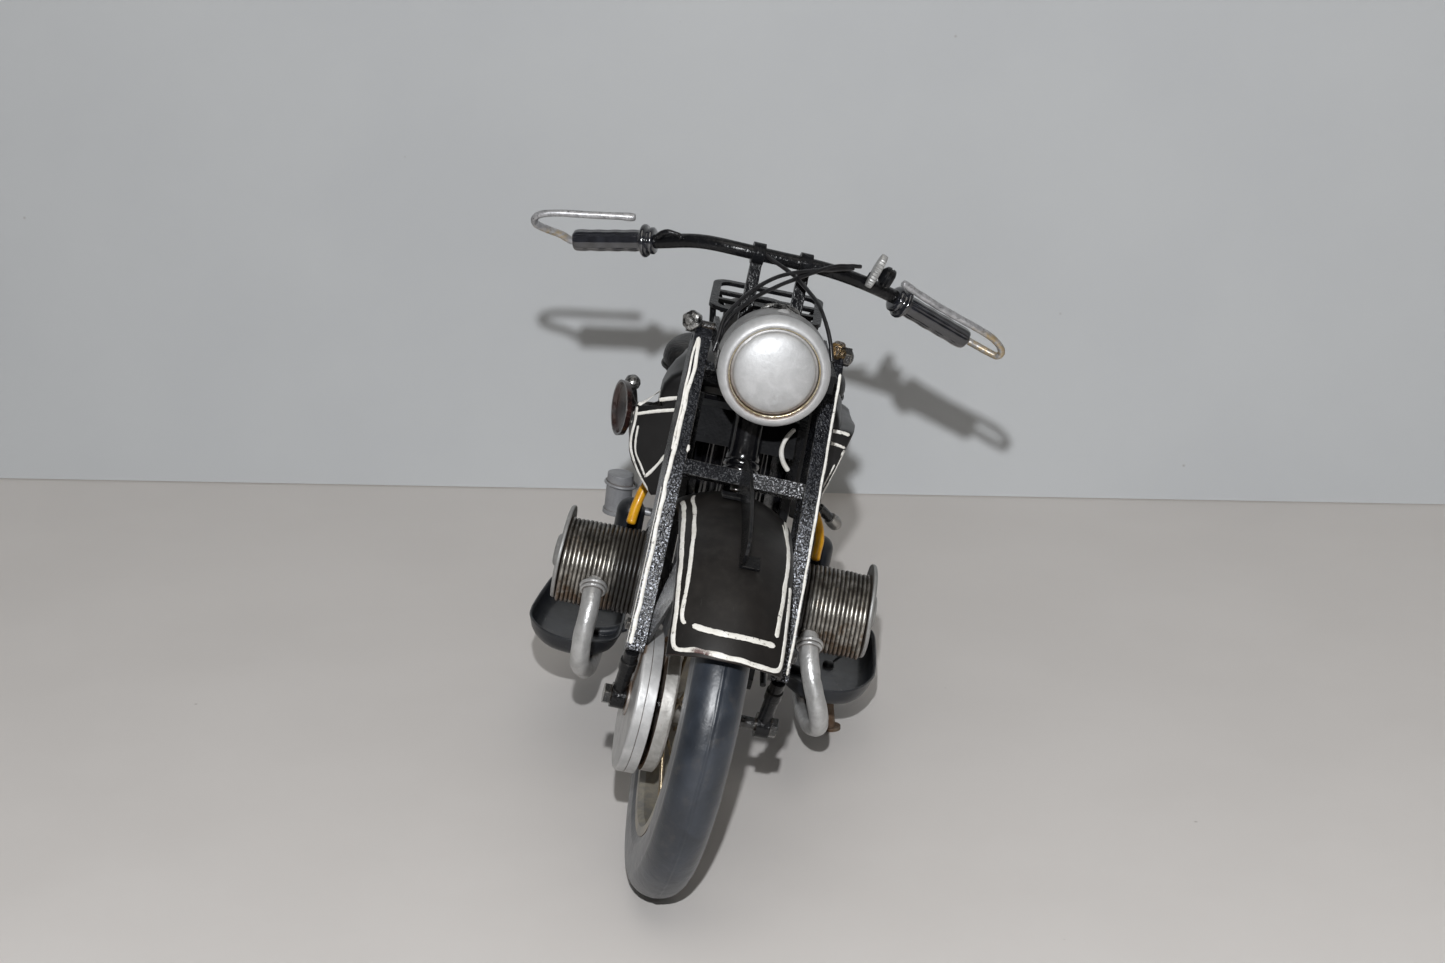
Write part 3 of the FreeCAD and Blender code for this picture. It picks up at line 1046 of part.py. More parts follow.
# ---------------------------------------------------------------- luggage rack
half, front, rear = dim.rack_half, dim.rack_front, dim.rack_rear
wide, thick = dim.rack_wide, dim.rack_thick
rack_low = dim.rack_z - thick
inner_half = half - wide
rack = Part.makeBox(2 * half, rear - front, thick, V(-half, front, rack_low))
rack = rack.makeFillet(5.0, [e for e in rack.Edges if abs(e.Length - thick) < 0.01])
opening = Part.makeBox(2 * inner_half, rear - front - 2 * wide, thick + 2,
                       V(-inner_half, front + wide, rack_low - 1))
opening = opening.makeFillet(2.8, [e for e in opening.Edges
                                   if abs(e.Length - thick - 2) < 0.01])
rack = rack.cut(opening)
for slat_y in (69.6, 77.6):
    rack = rack.fuse(Part.makeBox(2 * inner_half + 0.4, 1.9, thick,
                                  V(-inner_half - 0.2, slat_y, rack_low)))
legs = []
for side in SIDES:
    # (y at the rack, y at the foot, z at the foot)
    for top_y, foot_y, foot_z in ((front + 6, front + 4.0, 78.5), (rear - 6, rear - 2.0, 90.6)):
        legs.append(rod((side * (half - 1.2), top_y, rack_low + 0.04),
                        (side * 11.9, foot_y, foot_z), 0.9))
rack = rack.fuse(legs).removeSplitter()
rack = rack.cut(guard(REAR_AXLE, dim.rear_fender_crown + 0.03, dim.rear_fender_edge + 0.03,
                      dim.rear_fender_half + 0.03, 8.0, 10, 200, REAR_LIP))
piece("luggage_rack", FRAME, largest(rack))

# ---------------------------------------------------------------- shaft drive on the right
shaft_start, shaft_end = V(-17.4, 12.4, 47.25), V(-17.4, 79.6, 43.7)
shaft_run = shaft_end - shaft_start
shaft_len = shaft_run.Length
shaft_dir = shaft_run.normalize()
shaft = lathe([(0, 0), (0, 3.2), (7.6, 3.2), (8.6, 1.7), (shaft_len - 4.6, 1.7),
               (shaft_len - 3.6, 2.7), (shaft_len, 2.7), (shaft_len, 0)])
shaft.Placement = Placement(shaft_start, Rotation(X_AXIS, shaft_dir))
piece("drive_shaft", FRAME, shaft)

final_drive = x_rod(8.4, 5.4, -20.4, REAR_AXLE)
final_drive = final_drive.makeFillet(1.8, [e for e in final_drive.Edges
                                           if e.Length > 45 and e.CenterOfMass.x < -20])
neck_start = shaft_end + V(0, 0.05, 0)
final_drive = final_drive.fuse(rod(neck_start, neck_start + shaft_dir * 5.0, 2.6))
final_drive = final_drive.cut(x_rod(dim.axle_rad + 0.04, 20, -30, REAR_AXLE))
piece("final_drive", FRAME, final_drive.removeSplitter())

# kick starter on the left of the gearbox: bent lever, pedal and its round end
kick = tube([(9.3, 8.0, 46.0), (15.6, 8.4, 46.2), (18.6, 10.0, 47.6), (22.4, 14.6, 56.0),
             (24.6, 17.0, 62.6)], 1.1)
kick = kick.fuse([rod((24.2, 16.8, 62.3), (29.4, 20.0, 57.6), 1.35),
                  Part.makeSphere(1.75, V(29.2, 19.9, 57.8))])
box_clear = dim.box_half + 0.02
kick = kick.cut(Part.makeBox(2 * box_clear, 40, 40, V(-box_clear, -10, 30)))
piece("kickstart_lever", FRAME, largest(kick.removeSplitter()))

# ---------------------------------------------------------------- checks and export
doc.recompute()
bad = []
for obj in doc.Objects:
    if any(state in ("Invalid", "Error") for state in obj.State):
        bad.append("%s %s" % (obj.Name, obj.State))
for label, obj in PIECES:
    shape = obj.Shape
    if shape.isNull() or not shape.isValid() or not shape.Solids or shape.Volume <= 0:
        bad.append("%s shape null, invalid or empty" % label)
if bad:
    raise SystemExit("failed objects: " + "; ".join(bad))
os.makedirs("parts", exist_ok=True)
for label, obj in PIECES:
    obj.Shape.exportStep("parts/%s.step" % label)
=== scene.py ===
"""A shaft-driven motorcycle with flat-twin cylinders, leaning on its stand, fork turned left.

Pieces are drawn in millimetres in two local frames, the bike's and the turned fork's: +X is the
rider's left, -Y the front, +Z up. Both are then placed on the stage in metres.
"""
import math

import bmesh
import bpy
from mathutils import Matrix, Vector, noise
from mathutils.bvhtree import BVHTree

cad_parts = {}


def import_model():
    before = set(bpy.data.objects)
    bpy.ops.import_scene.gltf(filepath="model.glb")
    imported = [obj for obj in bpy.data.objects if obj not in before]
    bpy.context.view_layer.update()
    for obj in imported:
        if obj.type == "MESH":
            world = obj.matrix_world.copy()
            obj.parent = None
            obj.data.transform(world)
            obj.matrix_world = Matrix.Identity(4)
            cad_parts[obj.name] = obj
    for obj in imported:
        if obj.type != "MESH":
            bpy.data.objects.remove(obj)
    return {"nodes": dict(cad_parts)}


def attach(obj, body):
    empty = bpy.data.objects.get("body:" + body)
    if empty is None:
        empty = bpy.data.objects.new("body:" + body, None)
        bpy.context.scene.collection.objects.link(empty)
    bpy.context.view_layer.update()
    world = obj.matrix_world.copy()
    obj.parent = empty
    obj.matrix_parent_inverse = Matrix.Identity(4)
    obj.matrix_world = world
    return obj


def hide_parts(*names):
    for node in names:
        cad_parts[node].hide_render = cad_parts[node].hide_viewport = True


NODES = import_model()["nodes"]
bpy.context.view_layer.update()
MILLI = 0.001


# ------------------------------------------------------------------ points, noise and curves
def vec(*xyz):
    return Vector(xyz)


def clamp(value):
    return max(0.0, min(1.0, value))


def bell(value, centre, width):
    return math.exp(-((value - centre) / width) ** 2)


def angles(count):
    return [2 * math.pi * k / count for k in range(count)]


def polar(angle, radius, along):
    return vec(math.cos(angle) * radius, math.sin(angle) * radius, along)


def noise_at(x, y, z):
    return noise.noise(vec(x, y, z))


def ring_noise(angle, scale, along):
    """Noise that closes on itself around a ring."""
    return noise.noise(polar(angle, scale, along))


def ripple(p, freq, seed):
    return noise_at(p[0] * freq + seed * 7.13, p[1] * freq - seed * 3.7, p[2] * freq + seed)


def axis_frame(direction):
    """The unit direction and two unit vectors square to it."""
    along = Vector(direction).normalized()
    ref = vec(0, 0, 1) if abs(along.z) < 0.9 else vec(1, 0, 0)
    side = (ref - along * ref.dot(along)).normalized()
    return along, side, along.cross(side)


def ring(centre, side, cross, radius, count):
    return [centre + (side * math.cos(t) + cross * math.sin(t)) * radius for t in angles(count)]


def arc_lengths(points):
    lengths = [0.0]
    for start, end in zip(points, points[1:]):
        lengths.append(lengths[-1] + (end - start).length)
    return lengths


def stations(lengths, count):
    """Segment index and fraction of count + 1 evenly spread places."""
    k = 0
    for i in range(count + 1):
        along = lengths[-1] * i / count
        while k < len(lengths) - 2 and lengths[k + 1] < along:
            k += 1
        span = lengths[k + 1] - lengths[k]
        yield k, 0 if span < 1e-9 else (along - lengths[k]) / span


def spline(points, step=None, count=None, closed=False):
    """Catmull-Rom curve through the points, resampled evenly."""
    knots = [Vector(p) for p in points]
    if closed:
        knots = [knots[-1]] + knots + knots[:2]
    else:
        knots = [knots[0] * 2 - knots[1]] + knots + [knots[-1] * 2 - knots[-2]]
    dense = []
    for before, start, end, after in zip(knots, knots[1:], knots[2:], knots[3:]):
        for k in range(24):
            t = k / 24
            dense.append(0.5 * ((2 * start) + (end - before) * t
                                + (2 * before - 5 * start + 4 * end - after) * t * t
                                + (3 * start - before - 3 * end + after) * t ** 3))
    dense.append(knots[-2])
    lengths = arc_lengths(dense)
    count = count or max(2, int(round(lengths[-1] / step)))
    return [dense[k].lerp(dense[k + 1], t) for k, t in stations(lengths, count)]


def round_profile(points, radius):
    """Rounds the inner corners of an (along, radius) profile."""
    out = [points[0]]
    for before, corner, after in zip(points, points[1:], points[2:]):
        corner = vec(*corner, 0)
        back, ahead = vec(*before, 0) - corner, vec(*after, 0) - corner
        cut = min(radius, back.length * 0.45, ahead.length * 0.45)
        start, end = corner + back.normalized() * cut, corner + ahead.normalized() * cut
        for j in range(4):
            t = j / 3
            q = start * (1 - t) ** 2 + corner * 2 * t * (1 - t) + end * t * t
            out.append((q.x, q.y))
    out.append(points[-1])
    return out


# ------------------------------------------------------------------ local frames
LEAN = math.radians(10.75)
RAKE = math.radians(28.5)
STEER = math.radians(6.75)
BIKE_ORIGIN = vec(-20.766, -3.954, 1.769)
FORK_FOOT = vec(0, -95.7, 58.4)
FORK_UP = vec(0, math.sin(RAKE), math.cos(RAKE))
FORK_BACK = vec(0, math.cos(RAKE), -math.sin(RAKE))
STEER_AXIS = FORK_FOOT + FORK_BACK * 7
FRONT_AXLE = vec(0, -90, 43)
REAR_AXLE = vec(0, 90, 43.603)
LAMP_CENTRE = vec(-0.8, -86, 128.6)
CYLINDER_AXIS = vec(0, -28.4, 51.2)

BIKE = (Matrix.Translation(BIKE_ORIGIN * MILLI) @ Matrix.Rotation(LEAN, 4, "Y")
        @ Matrix.Scale(MILLI, 4))
FORK = (BIKE @ Matrix.Translation(STEER_AXIS) @ Matrix.Rotation(STEER, 4, FORK_UP)
        @ Matrix.Translation(-STEER_AXIS))
BIKE_INVERSE, FORK_INVERSE = BIKE.inverted(), FORK.inverted()


def frames(body):
    """Local frame of a body, and its inverse."""
    if body in ("fork", "front_wheel"):
        return FORK, FORK_INVERSE
    return BIKE, BIKE_INVERSE


def fork_point(up, back, x):
    return vec(x, *FORK_FOOT.yz) + FORK_UP * up + FORK_BACK * back


# ------------------------------------------------------------------ meshes
class Geometry:
    """Collects the shells of one piece."""

    def __init__(self):
        self.verts, self.faces = [], []

    def grid(self, rows, closed=False, caps=False):
        """Skins a list of equal loops; caps are fans."""
        base = len(self.verts)
        count, size = len(rows), len(rows[0])
        for row in rows:
            self.verts += [Vector(p) for p in row]
        for i in range(count if closed else count - 1):
            here, there = base + i * size, base + (i + 1) % count * size
            for j in range(size):
                k = (j + 1) % size
                self.faces.append((here + j, here + k, there + k, there + j))
        for i in (0, count - 1) if caps else ():
            self.verts.append(sum((Vector(p) for p in rows[i]), Vector()) / size)
            start, hub = base + i * size, len(self.verts) - 1
            for j in range(size):
                self.faces.append((start + j, start + (j + 1) % size, hub))

    def tube(self, path, radius, seg=16, step=0.7, shape=None, closed=False, seed=0.0, wobble=0.0):
        """Swept tube; shape(fraction, angle, along) scales the radius."""
        centres = spline(path, step=step, closed=closed)
        lengths = arc_lengths(centres)
        last = len(centres) - 1
        tangents = [(centres[min(i + 1, last)] - centres[max(i - 1, 0)]).normalized()
                    for i in range(last + 1)]
        side = axis_frame(tangents[0])[1]
        rows = []
        for centre, tangent, along in zip(centres, tangents, lengths):
            side = (side - tangent * side.dot(tangent)).normalized()
            cross = tangent.cross(side)
            row = []
            for t in angles(seg):
                out = side * math.cos(t) + cross * math.sin(t)
                scale = shape(along / lengths[-1], t, along) if shape else 1.0
                p = centre + out * radius * scale
                row.append(p + out * wobble * ripple(p, 0.35, seed))
            rows.append(row)

        def dome(i, sign):
            return [[centres[i] + (p - centres[i]) * math.cos(math.asin(k))
                     + tangents[i] * sign * k * (p - centres[i]).length * 0.55 for p in rows[i]]
                    for k in (0.38, 0.71, 0.92)]
        if not closed:
            rows = dome(0, -1)[::-1] + rows + dome(last, 1)
        self.grid(rows, caps=True)

    def lathe(self, centre, direction, profile, seg=64, shape=None, closed=False):
        """Turns (along, radius) pairs; shape(angle, along, radius) moves each. Open ends are capped."""
        axis, side, cross = axis_frame(direction)
        rows = []
        for along, radius in profile:
            row = []
            for t in angles(seg):
                shift, reach = shape(t, along, radius) if shape else (along, radius)
                out = side * math.cos(t) + cross * math.sin(t)
                row.append(Vector(centre) + axis * shift + out * reach)
            rows.append(row)
        self.grid(rows, closed=closed, caps=not closed)


def add_piece(name, verts, faces, body, finish, replaces, sharp, drawn):
    mesh = bpy.data.meshes.new(name)
    mesh.from_pydata([tuple(v) for v in verts], [], [tuple(f) for f in faces])
    if drawn:
        mesh.validate()
    bm = bmesh.new()
    bm.from_mesh(mesh)
    bmesh.ops.remove_doubles(bm, verts=bm.verts, dist=1e-7)
    if drawn:
        bmesh.ops.recalc_face_normals(bm, faces=bm.faces)
    for face in bm.faces:
        face.smooth = True
    for edge in bm.edges:
        if len(edge.link_faces) == 2 and math.degrees(edge.calc_face_angle(0.0)) > sharp:
            edge.smooth = False
    bm.to_mesh(mesh)
    bm.free()
    obj = bpy.data.objects.new(name, mesh)
    bpy.context.scene.collection.objects.link(obj)
    mesh.materials.append(finish)
    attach(obj, body)
    if replaces:
        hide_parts(replaces)
    return obj


def make(name, geo, body, finish, replaces=None, sharp=60):
    """A drawn piece; edges steeper than sharp degrees stay crisp."""
    matrix = frames(body)[0]
    return add_piece(name, [matrix @ v for v in geo.verts], geo.faces, body, finish,
                     replaces, sharp, drawn=True)


def recut(node, name, move, body, finish):
    """A CAD node's surface with its points moved in the local frame."""
    matrix, inverse = frames(body)
    source = NODES[node].data
    return add_piece(name, [matrix @ move(inverse @ v.co) for v in source.vertices],
                     [p.vertices for p in source.polygons], body, finish, node,
                     sharp=32, drawn=False)


def surface_tree(obj):
    mesh = obj.data
    return BVHTree.FromPolygons([v.co.copy() for v in mesh.vertices],
                                [tuple(p.vertices) for p in mesh.polygons])


def cast(tree, body, origin, direction):
    """Local point and outward normal where a ray meets a surface, or None."""
    matrix, inverse = frames(body)
    aim = (matrix.to_3x3() @ direction).normalized()
    place, normal, _, _ = tree.ray_cast(matrix @ origin, aim, 0.08)
    if place is None:
        return None
    normal = (inverse.to_3x3() @ normal).normalized()
    if normal.dot(direction) > 0:
        normal = -normal
    return inverse @ place, normal


# ------------------------------------------------------------------ shader graphs
class Material:
    """Shader graph of one finish; sizes and depths are in millimetres."""

    def __init__(self, name):
        self.material = bpy.data.materials.new(name)
        self.material.use_nodes = True
        self.tree = self.material.node_tree
        self.tree.nodes.clear()
        self.output = self.tree.nodes.new("ShaderNodeOutputMaterial")
        self.shader = self.tree.nodes.new("ShaderNodeBsdfPrincipled")
        self.put(self.output.inputs[0], self.shader.outputs[0])
        self.here = self.node("VectorMath", {0: self.node("TexCoord", output="Object"),
                                             "Scale": 1000.0}, operation="SCALE")

    def put(self, socket, value):
        if isinstance(value, bpy.types.NodeSocket):
            self.tree.links.new(value, socket)
        elif value is not None:
            if isinstance(value, tuple) and len(value) == 3 and socket.type == "RGBA":
                value = (*value, 1.0)
            socket.default_value = value

    def node(self, kind, inputs=None, output=0, **settings):
        made = self.tree.nodes.new("ShaderNode" + kind)
        for key, value in settings.items():
            setattr(made, key, value)
        for key, value in (inputs or {}).items():
            self.put(made.inputs[key], value)
        return made.outputs[output]

    def math(self, operation, first, second=None, clamp=False):
        return self.node("Math", {0: first, 1: second}, operation=operation, use_clamp=clamp)

    def mul(self, first, second):
        return self.math("MULTIPLY", first, second)

    def add(self, first, second):
        return self.math("ADD", first, second)

    def local(self, inverse):
        """Millimetre coordinates in the local frame whose inverse is given."""
        return self.node("Mapping", {"Vector": self.node("TexCoord", output="Object"),
                                     "Location": inverse.translation,
                                     "Rotation": inverse.to_quaternion().to_euler("XYZ"),
                                     "Scale": (1000, 1000, 1000)})

    def axis(self, vector, index):
        return self.node("SeparateXYZ", {0: vector}, output=index)

    def noise(self, size, detail=5, rough=0.6, distort=0.0, where=None):
        return self.node("TexNoise", {"Vector": where or self.here, "Scale": 1.0 / size,
                                      "Detail": detail, "Roughness": rough,
                                      "Distortion": distort}, output="Fac")

    def ramp(self, value, low, high, start=0.0, end=1.0):
        return self.node("MapRange", {"Value": value, "From Min": low, "From Max": high,
                                      "To Min": start, "To Max": end},
                         output="Result", interpolation_type="SMOOTHSTEP")

    def patches(self, low, high, start=0.0, end=1.0, **noise):
        return self.ramp(self.noise(**noise), low, high, start, end)

    def cells(self, size, high, start=0.0, end=1.0):
        """Ramp outward from scattered points."""
        spots = self.node("TexVoronoi", {"Vector": self.here, "Scale": 1.0 / size},
                          output="Distance")
        return self.ramp(spots, 0.0, high, start, end)

    def mix(self, factor, first, second):
        return self.node("Mix", {0: factor, 6: first, 7: second}, output=2, data_type="RGBA")

    def blend(self, factor, first, second):
        return self.node("Mix", {0: factor, 2: first, 3: second}, data_type="FLOAT")

    def mottled(self, base, vary, **patches):
        return self.mix(self.patches(**patches), base, vary)

    def spread(self, base, amount, **noise):
        """A base value raised by noise."""
        return self.add(base, self.mul(self.noise(**noise), amount))

    def bump(self, height, strength, depth, normal=None):
        return self.node("Bump", {"Strength": strength, "Distance": depth * MILLI,
                                  "Height": height, "Normal": normal})

    def bumpy(self, strength, depth, normal=None, **noise):
        return self.bump(self.noise(**noise), strength, depth, normal)

    def bevel(self, radius):
        return self.node("Bevel", {"Radius": radius * MILLI}, samples=4)

    def edges(self, bevelled):
        flat = self.node("NewGeometry", output="Normal")
        match = self.node("VectorMath", {0: bevelled, 1: flat}, output="Value",
                          operation="DOT_PRODUCT")
        return self.math("SUBTRACT", 1.0, match, clamp=True)

    # Ambient occlusion turned round: high in hollows, where shade falls.
    def cavity(self, reach):
        light = self.node("AmbientOcclusion", {"Distance": reach * MILLI}, output="AO", samples=4)
        return self.math("SUBTRACT", 1.0, light, clamp=True)

    def finish(self, **inputs):
        for key, value in inputs.items():
            self.put(self.shader.inputs[key.replace("_", " ")], value)
        return self.material


def grey(value):
    return (value, value, value)


def paint(name, base, vary, rough=0.4, metal=0.0, mottle=9.0, grain=0.45, grain_depth=0.03,
          hammer=0.0, hammer_size=1.6, edge=0.35, wear=0.5, wear_col=(0.42, 0.4, 0.37),
          worn_metal=0.8, grime_and_shade=0.0, grime_and_shade_col=(0.09, 0.05, 0.022), grime_and_shade_reach=2.2,
          scratch=0.15, scratch_col=grey(0.3), coat=0.0, painted_glint_col=None, glint_zone=None, pits=0.0,
          stain=None, stain_col=None, dust=0.0, spec=0.5):
    """Aged paint or metal.

    mottle, grain and hammer_size are pattern sizes and edge a bevel radius; hammer, wear,
    grime_and_shade, scratch, pits and dust are amounts. grime_and_shade is brown dirt laid into hollows
    by ambient occlusion, so it is partly painted shade. glint_zone limits the painted glints, bright
    specks in the colour that stand in for the light's sparkle, and stain places one colour.
    """
    mat = Material(name)
    colour = mat.mottled(base, vary, size=mottle, distort=0.4, low=0.36, high=0.68)
    fine = mat.noise(size=grain, detail=3)
    colour = mat.mix(mat.mul(fine, 0.28), colour, tuple(c * 0.55 for c in base))
    rough = mat.spread(rough - 0.09, 0.2, size=mottle * 0.45, detail=6, rough=0.65)
    # Painted glints: bright silvery specks mixed into the colour stand in for the light sparkling on
    # the crinkled paint, kept to the glint zone.
    if painted_glint_col:
        painted_glint = mat.mul(mat.patches(size=0.42, detail=2, rough=0.5, low=0.52, high=0.64),
                        mat.patches(size=5.5, detail=4, low=0.30, high=0.55))
        painted_glint = mat.mul(painted_glint, 1.0)
        glint_area = glint_zone(mat)
        painted_glint = mat.mul(painted_glint, glint_area)
        spec = mat.blend(glint_area, 0.06, spec)
        coat = mat.mul(glint_area, coat)
        colour = mat.mix(painted_glint, colour, painted_glint_col)
        metal = mat.mul(painted_glint, 0.25)
    drawn_out = mat.node("VectorMath", {0: mat.here, 1: (1.0, 0.12, 0.28)}, operation="MULTIPLY")
    lines = mat.mul(mat.patches(size=0.42, detail=3, rough=0.5, distort=0.3, where=drawn_out,
                                low=0.66, high=0.72),
                    mat.patches(size=6, detail=3, rough=0.5, low=0.5, high=0.66))
    lines = mat.mul(lines, scratch)
    colour = mat.mix(lines, colour, scratch_col)
    rough = mat.blend(lines, rough, 0.5)
    if dust:
        upward = mat.axis(mat.node("NewGeometry", output="Normal"), 2)
        film = mat.mul(mat.ramp(upward, low=0.3, high=1.0),
                       mat.mul(mat.patches(size=3.4, detail=6, rough=0.7, low=0.4, high=0.7), dust))
        colour = mat.mix(film, colour, (0.3, 0.28, 0.25))
        rough = mat.blend(film, rough, 0.8)
    # Brown dirt in hollows, placed by ambient occlusion plus noise: partly real dirt, partly painted
    # shade in the recesses.
    if grime_and_shade:
        dirt = mat.add(mat.cavity(grime_and_shade_reach),
                       mat.mul(mat.noise(size=1.5, detail=6, rough=0.7), 0.5))
        dirt = mat.mul(mat.ramp(dirt, low=0.42, high=0.9), grime_and_shade)
        colour = mat.mix(dirt, colour, grime_and_shade_col)
        rough = mat.blend(dirt, rough, 0.75)
    if stain:
        colour = mat.mix(stain(mat), colour, stain_col)
    normal = None
    if edge:
        normal = mat.bevel(edge)
        bare = mat.mul(mat.edges(normal), mat.add(0.35, mat.noise(size=1.3, rough=0.7)))
        bare = mat.mul(mat.ramp(bare, low=0.035, high=0.16),
                       mat.mul(mat.patches(size=4.2, detail=4, low=0.40, high=0.60), wear))
        colour = mat.mix(bare, colour, wear_col)
        metal = mat.blend(bare, metal, worn_metal)
        rough = mat.blend(bare, rough, 0.38)
    normal = mat.bump(mat.mul(fine, 0.5), strength=0.5, depth=grain_depth, normal=normal)
    normal = mat.bumpy(strength=0.35, depth=0.12, normal=normal,
                       size=mottle * 0.3, detail=4, rough=0.5)
    if hammer:
        coarse = mat.mul(mat.noise(size=hammer_size, detail=2, rough=0.5, distort=0.6), 1.0)
        small = mat.mul(mat.noise(size=hammer_size * 0.38, detail=2, rough=0.5), 0.35)
        normal = mat.bump(mat.add(coarse, small), hammer, depth=0.55, normal=normal)
    if pits:
        normal = mat.bump(mat.cells(size=1.7, high=0.16), pits, depth=0.12, normal=normal)
    return mat.finish(Base_Color=colour, Roughness=rough, Metallic=metal, Normal=normal,
                      Coat_Weight=coat, Coat_Roughness=0.16, Specular_IOR_Level=spec)


# ------------------------------------------------------------------ painted and metal finishes
def lamp_stain(mat):
    """A brown ring in the lamp's groove, strongest at the bottom."""
    place = mat.local(FORK_INVERSE)
    z = mat.add(mat.axis(place, 2), -LAMP_CENTRE.z)
    x = mat.add(mat.axis(place, 0), -LAMP_CENTRE.x)
    radius = mat.math("SQRT", mat.add(mat.mul(x, x), mat.mul(z, z)))
    near = mat.mul(mat.ramp(radius, low=9.1, high=10.35),
                   mat.ramp(radius, low=10.5, high=11.5, start=1.0, end=0.0))
    below = mat.ramp(z, low=6, high=-10, start=0.12)
    return mat.mul(mat.mul(near, below),
                   mat.patches(size=1.1, rough=0.7, low=0.25, high=0.62, start=0.45))


# Where the painted glints go on the blades: the lower part, where the light sparkles.
def blade_glint_zone(mat):
    return mat.ramp(mat.axis(mat.local(FORK_INVERSE), 2), low=103, high=84, start=0.10)


# Painted glints on the yokes, mostly on the rider's left half, where the light sparkles.
def yoke_glint_zone(mat):
    return mat.ramp(mat.axis(mat.local(FORK_INVERSE), 0), low=-3, high=3, start=0.12)


ENAMEL = paint(
    "black_enamel", base=(0.0042, 0.0043, 0.005), vary=(0.009, 0.0095, 0.011), rough=0.22,
    hammer=0.36, hammer_size=1.5, coat=0.12, edge=0.3, wear=0.22, wear_col=(0.26, 0.24, 0.21),
    scratch=0.12, dust=0.02, spec=0.22)
# The blades and the yokes carry painted glints: silvery specks in the colour for the sparkle of the
# light.
BLADE = paint(
    "blade_enamel", base=(0.0042, 0.0045, 0.006), vary=(0.009, 0.0098, 0.0125), rough=0.24,
    hammer=0.6, hammer_size=0.95, coat=0.25, edge=0.4, wear=0.35, wear_col=(0.45, 0.42, 0.38),
    scratch=0.3, painted_glint_col=(0.40, 0.42, 0.47), mottle=7, glint_zone=blade_glint_zone, spec=0.4)
YOKE = paint(
    "yoke_enamel", base=(0.006, 0.0065, 0.008), vary=(0.02, 0.021, 0.024), rough=0.24,
    hammer=0.95, hammer_size=0.7, coat=0.35, wear=0.45, painted_glint_col=(0.6, 0.61, 0.64),
    glint_zone=yoke_glint_zone)
GLOSS = paint(
    "gloss_black", base=(0.003, 0.003, 0.004), vary=(0.007, 0.007, 0.008), rough=0.14,
    hammer=0.3, hammer_size=2.6, coat=1.0, edge=0.3, wear=0.2, scratch=0.1)
FENDER = paint(
    "fender_black", base=(0.0072, 0.0062, 0.0058), vary=(0.0125, 0.0105, 0.0095), rough=0.44,
    edge=0.3, wear_col=(0.13, 0.06, 0.035), worn_metal=0.2, scratch=0.08, mottle=14, grain=0.3,
    dust=0.03, pits=0.06, spec=0.34)
TANK = paint(
    "tank_black", base=(0.0048, 0.0047, 0.005), vary=(0.009, 0.0088, 0.0092), rough=0.33,
    coat=0.06, edge=0.4, wear=0.2, scratch=0.1, mottle=12, dust=0.03, spec=0.26)
FRAME_BLACK = paint(
    "frame_black", base=(0.004, 0.0041, 0.0048), vary=(0.0085, 0.009, 0.0105), rough=0.24,
    hammer=0.4, hammer_size=1.3, coat=0.03, edge=0.3, wear=0.15, wear_col=(0.25, 0.23, 0.2),
    scratch=0.1, spec=0.14)
DEEP_BLACK = paint(
    "deep_black", base=(0.0035, 0.0036, 0.0042), vary=(0.0075, 0.0077, 0.0088), rough=0.5,
    hammer=0.2, hammer_size=1.4, edge=0.25, wear=0.08, scratch=0.05, spec=0.06)
SLATE = paint(
    "slate_enamel", base=(0.0095, 0.0108, 0.0135), vary=(0.021, 0.0235, 0.029), rough=0.34,
    coat=0.12, wear=0.4, wear_col=grey(0.12), scratch=0.3, dust=0.08, spec=0.42)
CASTING = paint(
    "dark_casting", base=(0.010, 0.010, 0.0115), vary=(0.024, 0.0235, 0.0245), rough=0.42,
    hammer=0.3, hammer_size=2.2, wear=0.35, grime_and_shade=0.5, dust=0.08, spec=0.42)
SILVER = paint(
    "silver_paint", base=grey(0.43), vary=(0.58, 0.58, 0.575), rough=0.42, metal=0.35, mottle=5,
    grain=0.35, grain_depth=0.05, hammer=0.12, hammer_size=3.0, edge=0.3, wear=0.25,
    wear_col=(0.12, 0.075, 0.045), grime_and_shade_col=(0.12, 0.065, 0.028), grime_and_shade=1.0, grime_and_shade_reach=2.8,
    scratch=0.35, scratch_col=(0.16, 0.11, 0.07), pits=0.12)
EXHAUST = paint(
    "exhaust_silver", base=(0.44, 0.44, 0.435), vary=(0.60, 0.60, 0.595), rough=0.36, metal=0.5,
    mottle=4, grain=0.4, grain_depth=0.06, hammer=0.3, edge=0.0, grime_and_shade=0.6, scratch=0.6,
    scratch_col=(0.12, 0.09, 0.06), pits=0.25)
LAMP = paint(
    "lamp_silver", base=(0.47, 0.475, 0.48), vary=(0.58, 0.585, 0.59), rough=0.48, metal=0.46,
    mottle=4.5, grain=0.3, grain_depth=0.13, hammer=0.06, hammer_size=1.5, edge=0.0, grime_and_shade=0.25,
    grime_and_shade_reach=0.9, scratch=0.08, pits=0.1, stain=lamp_stain, stain_col=(0.16, 0.085, 0.03))
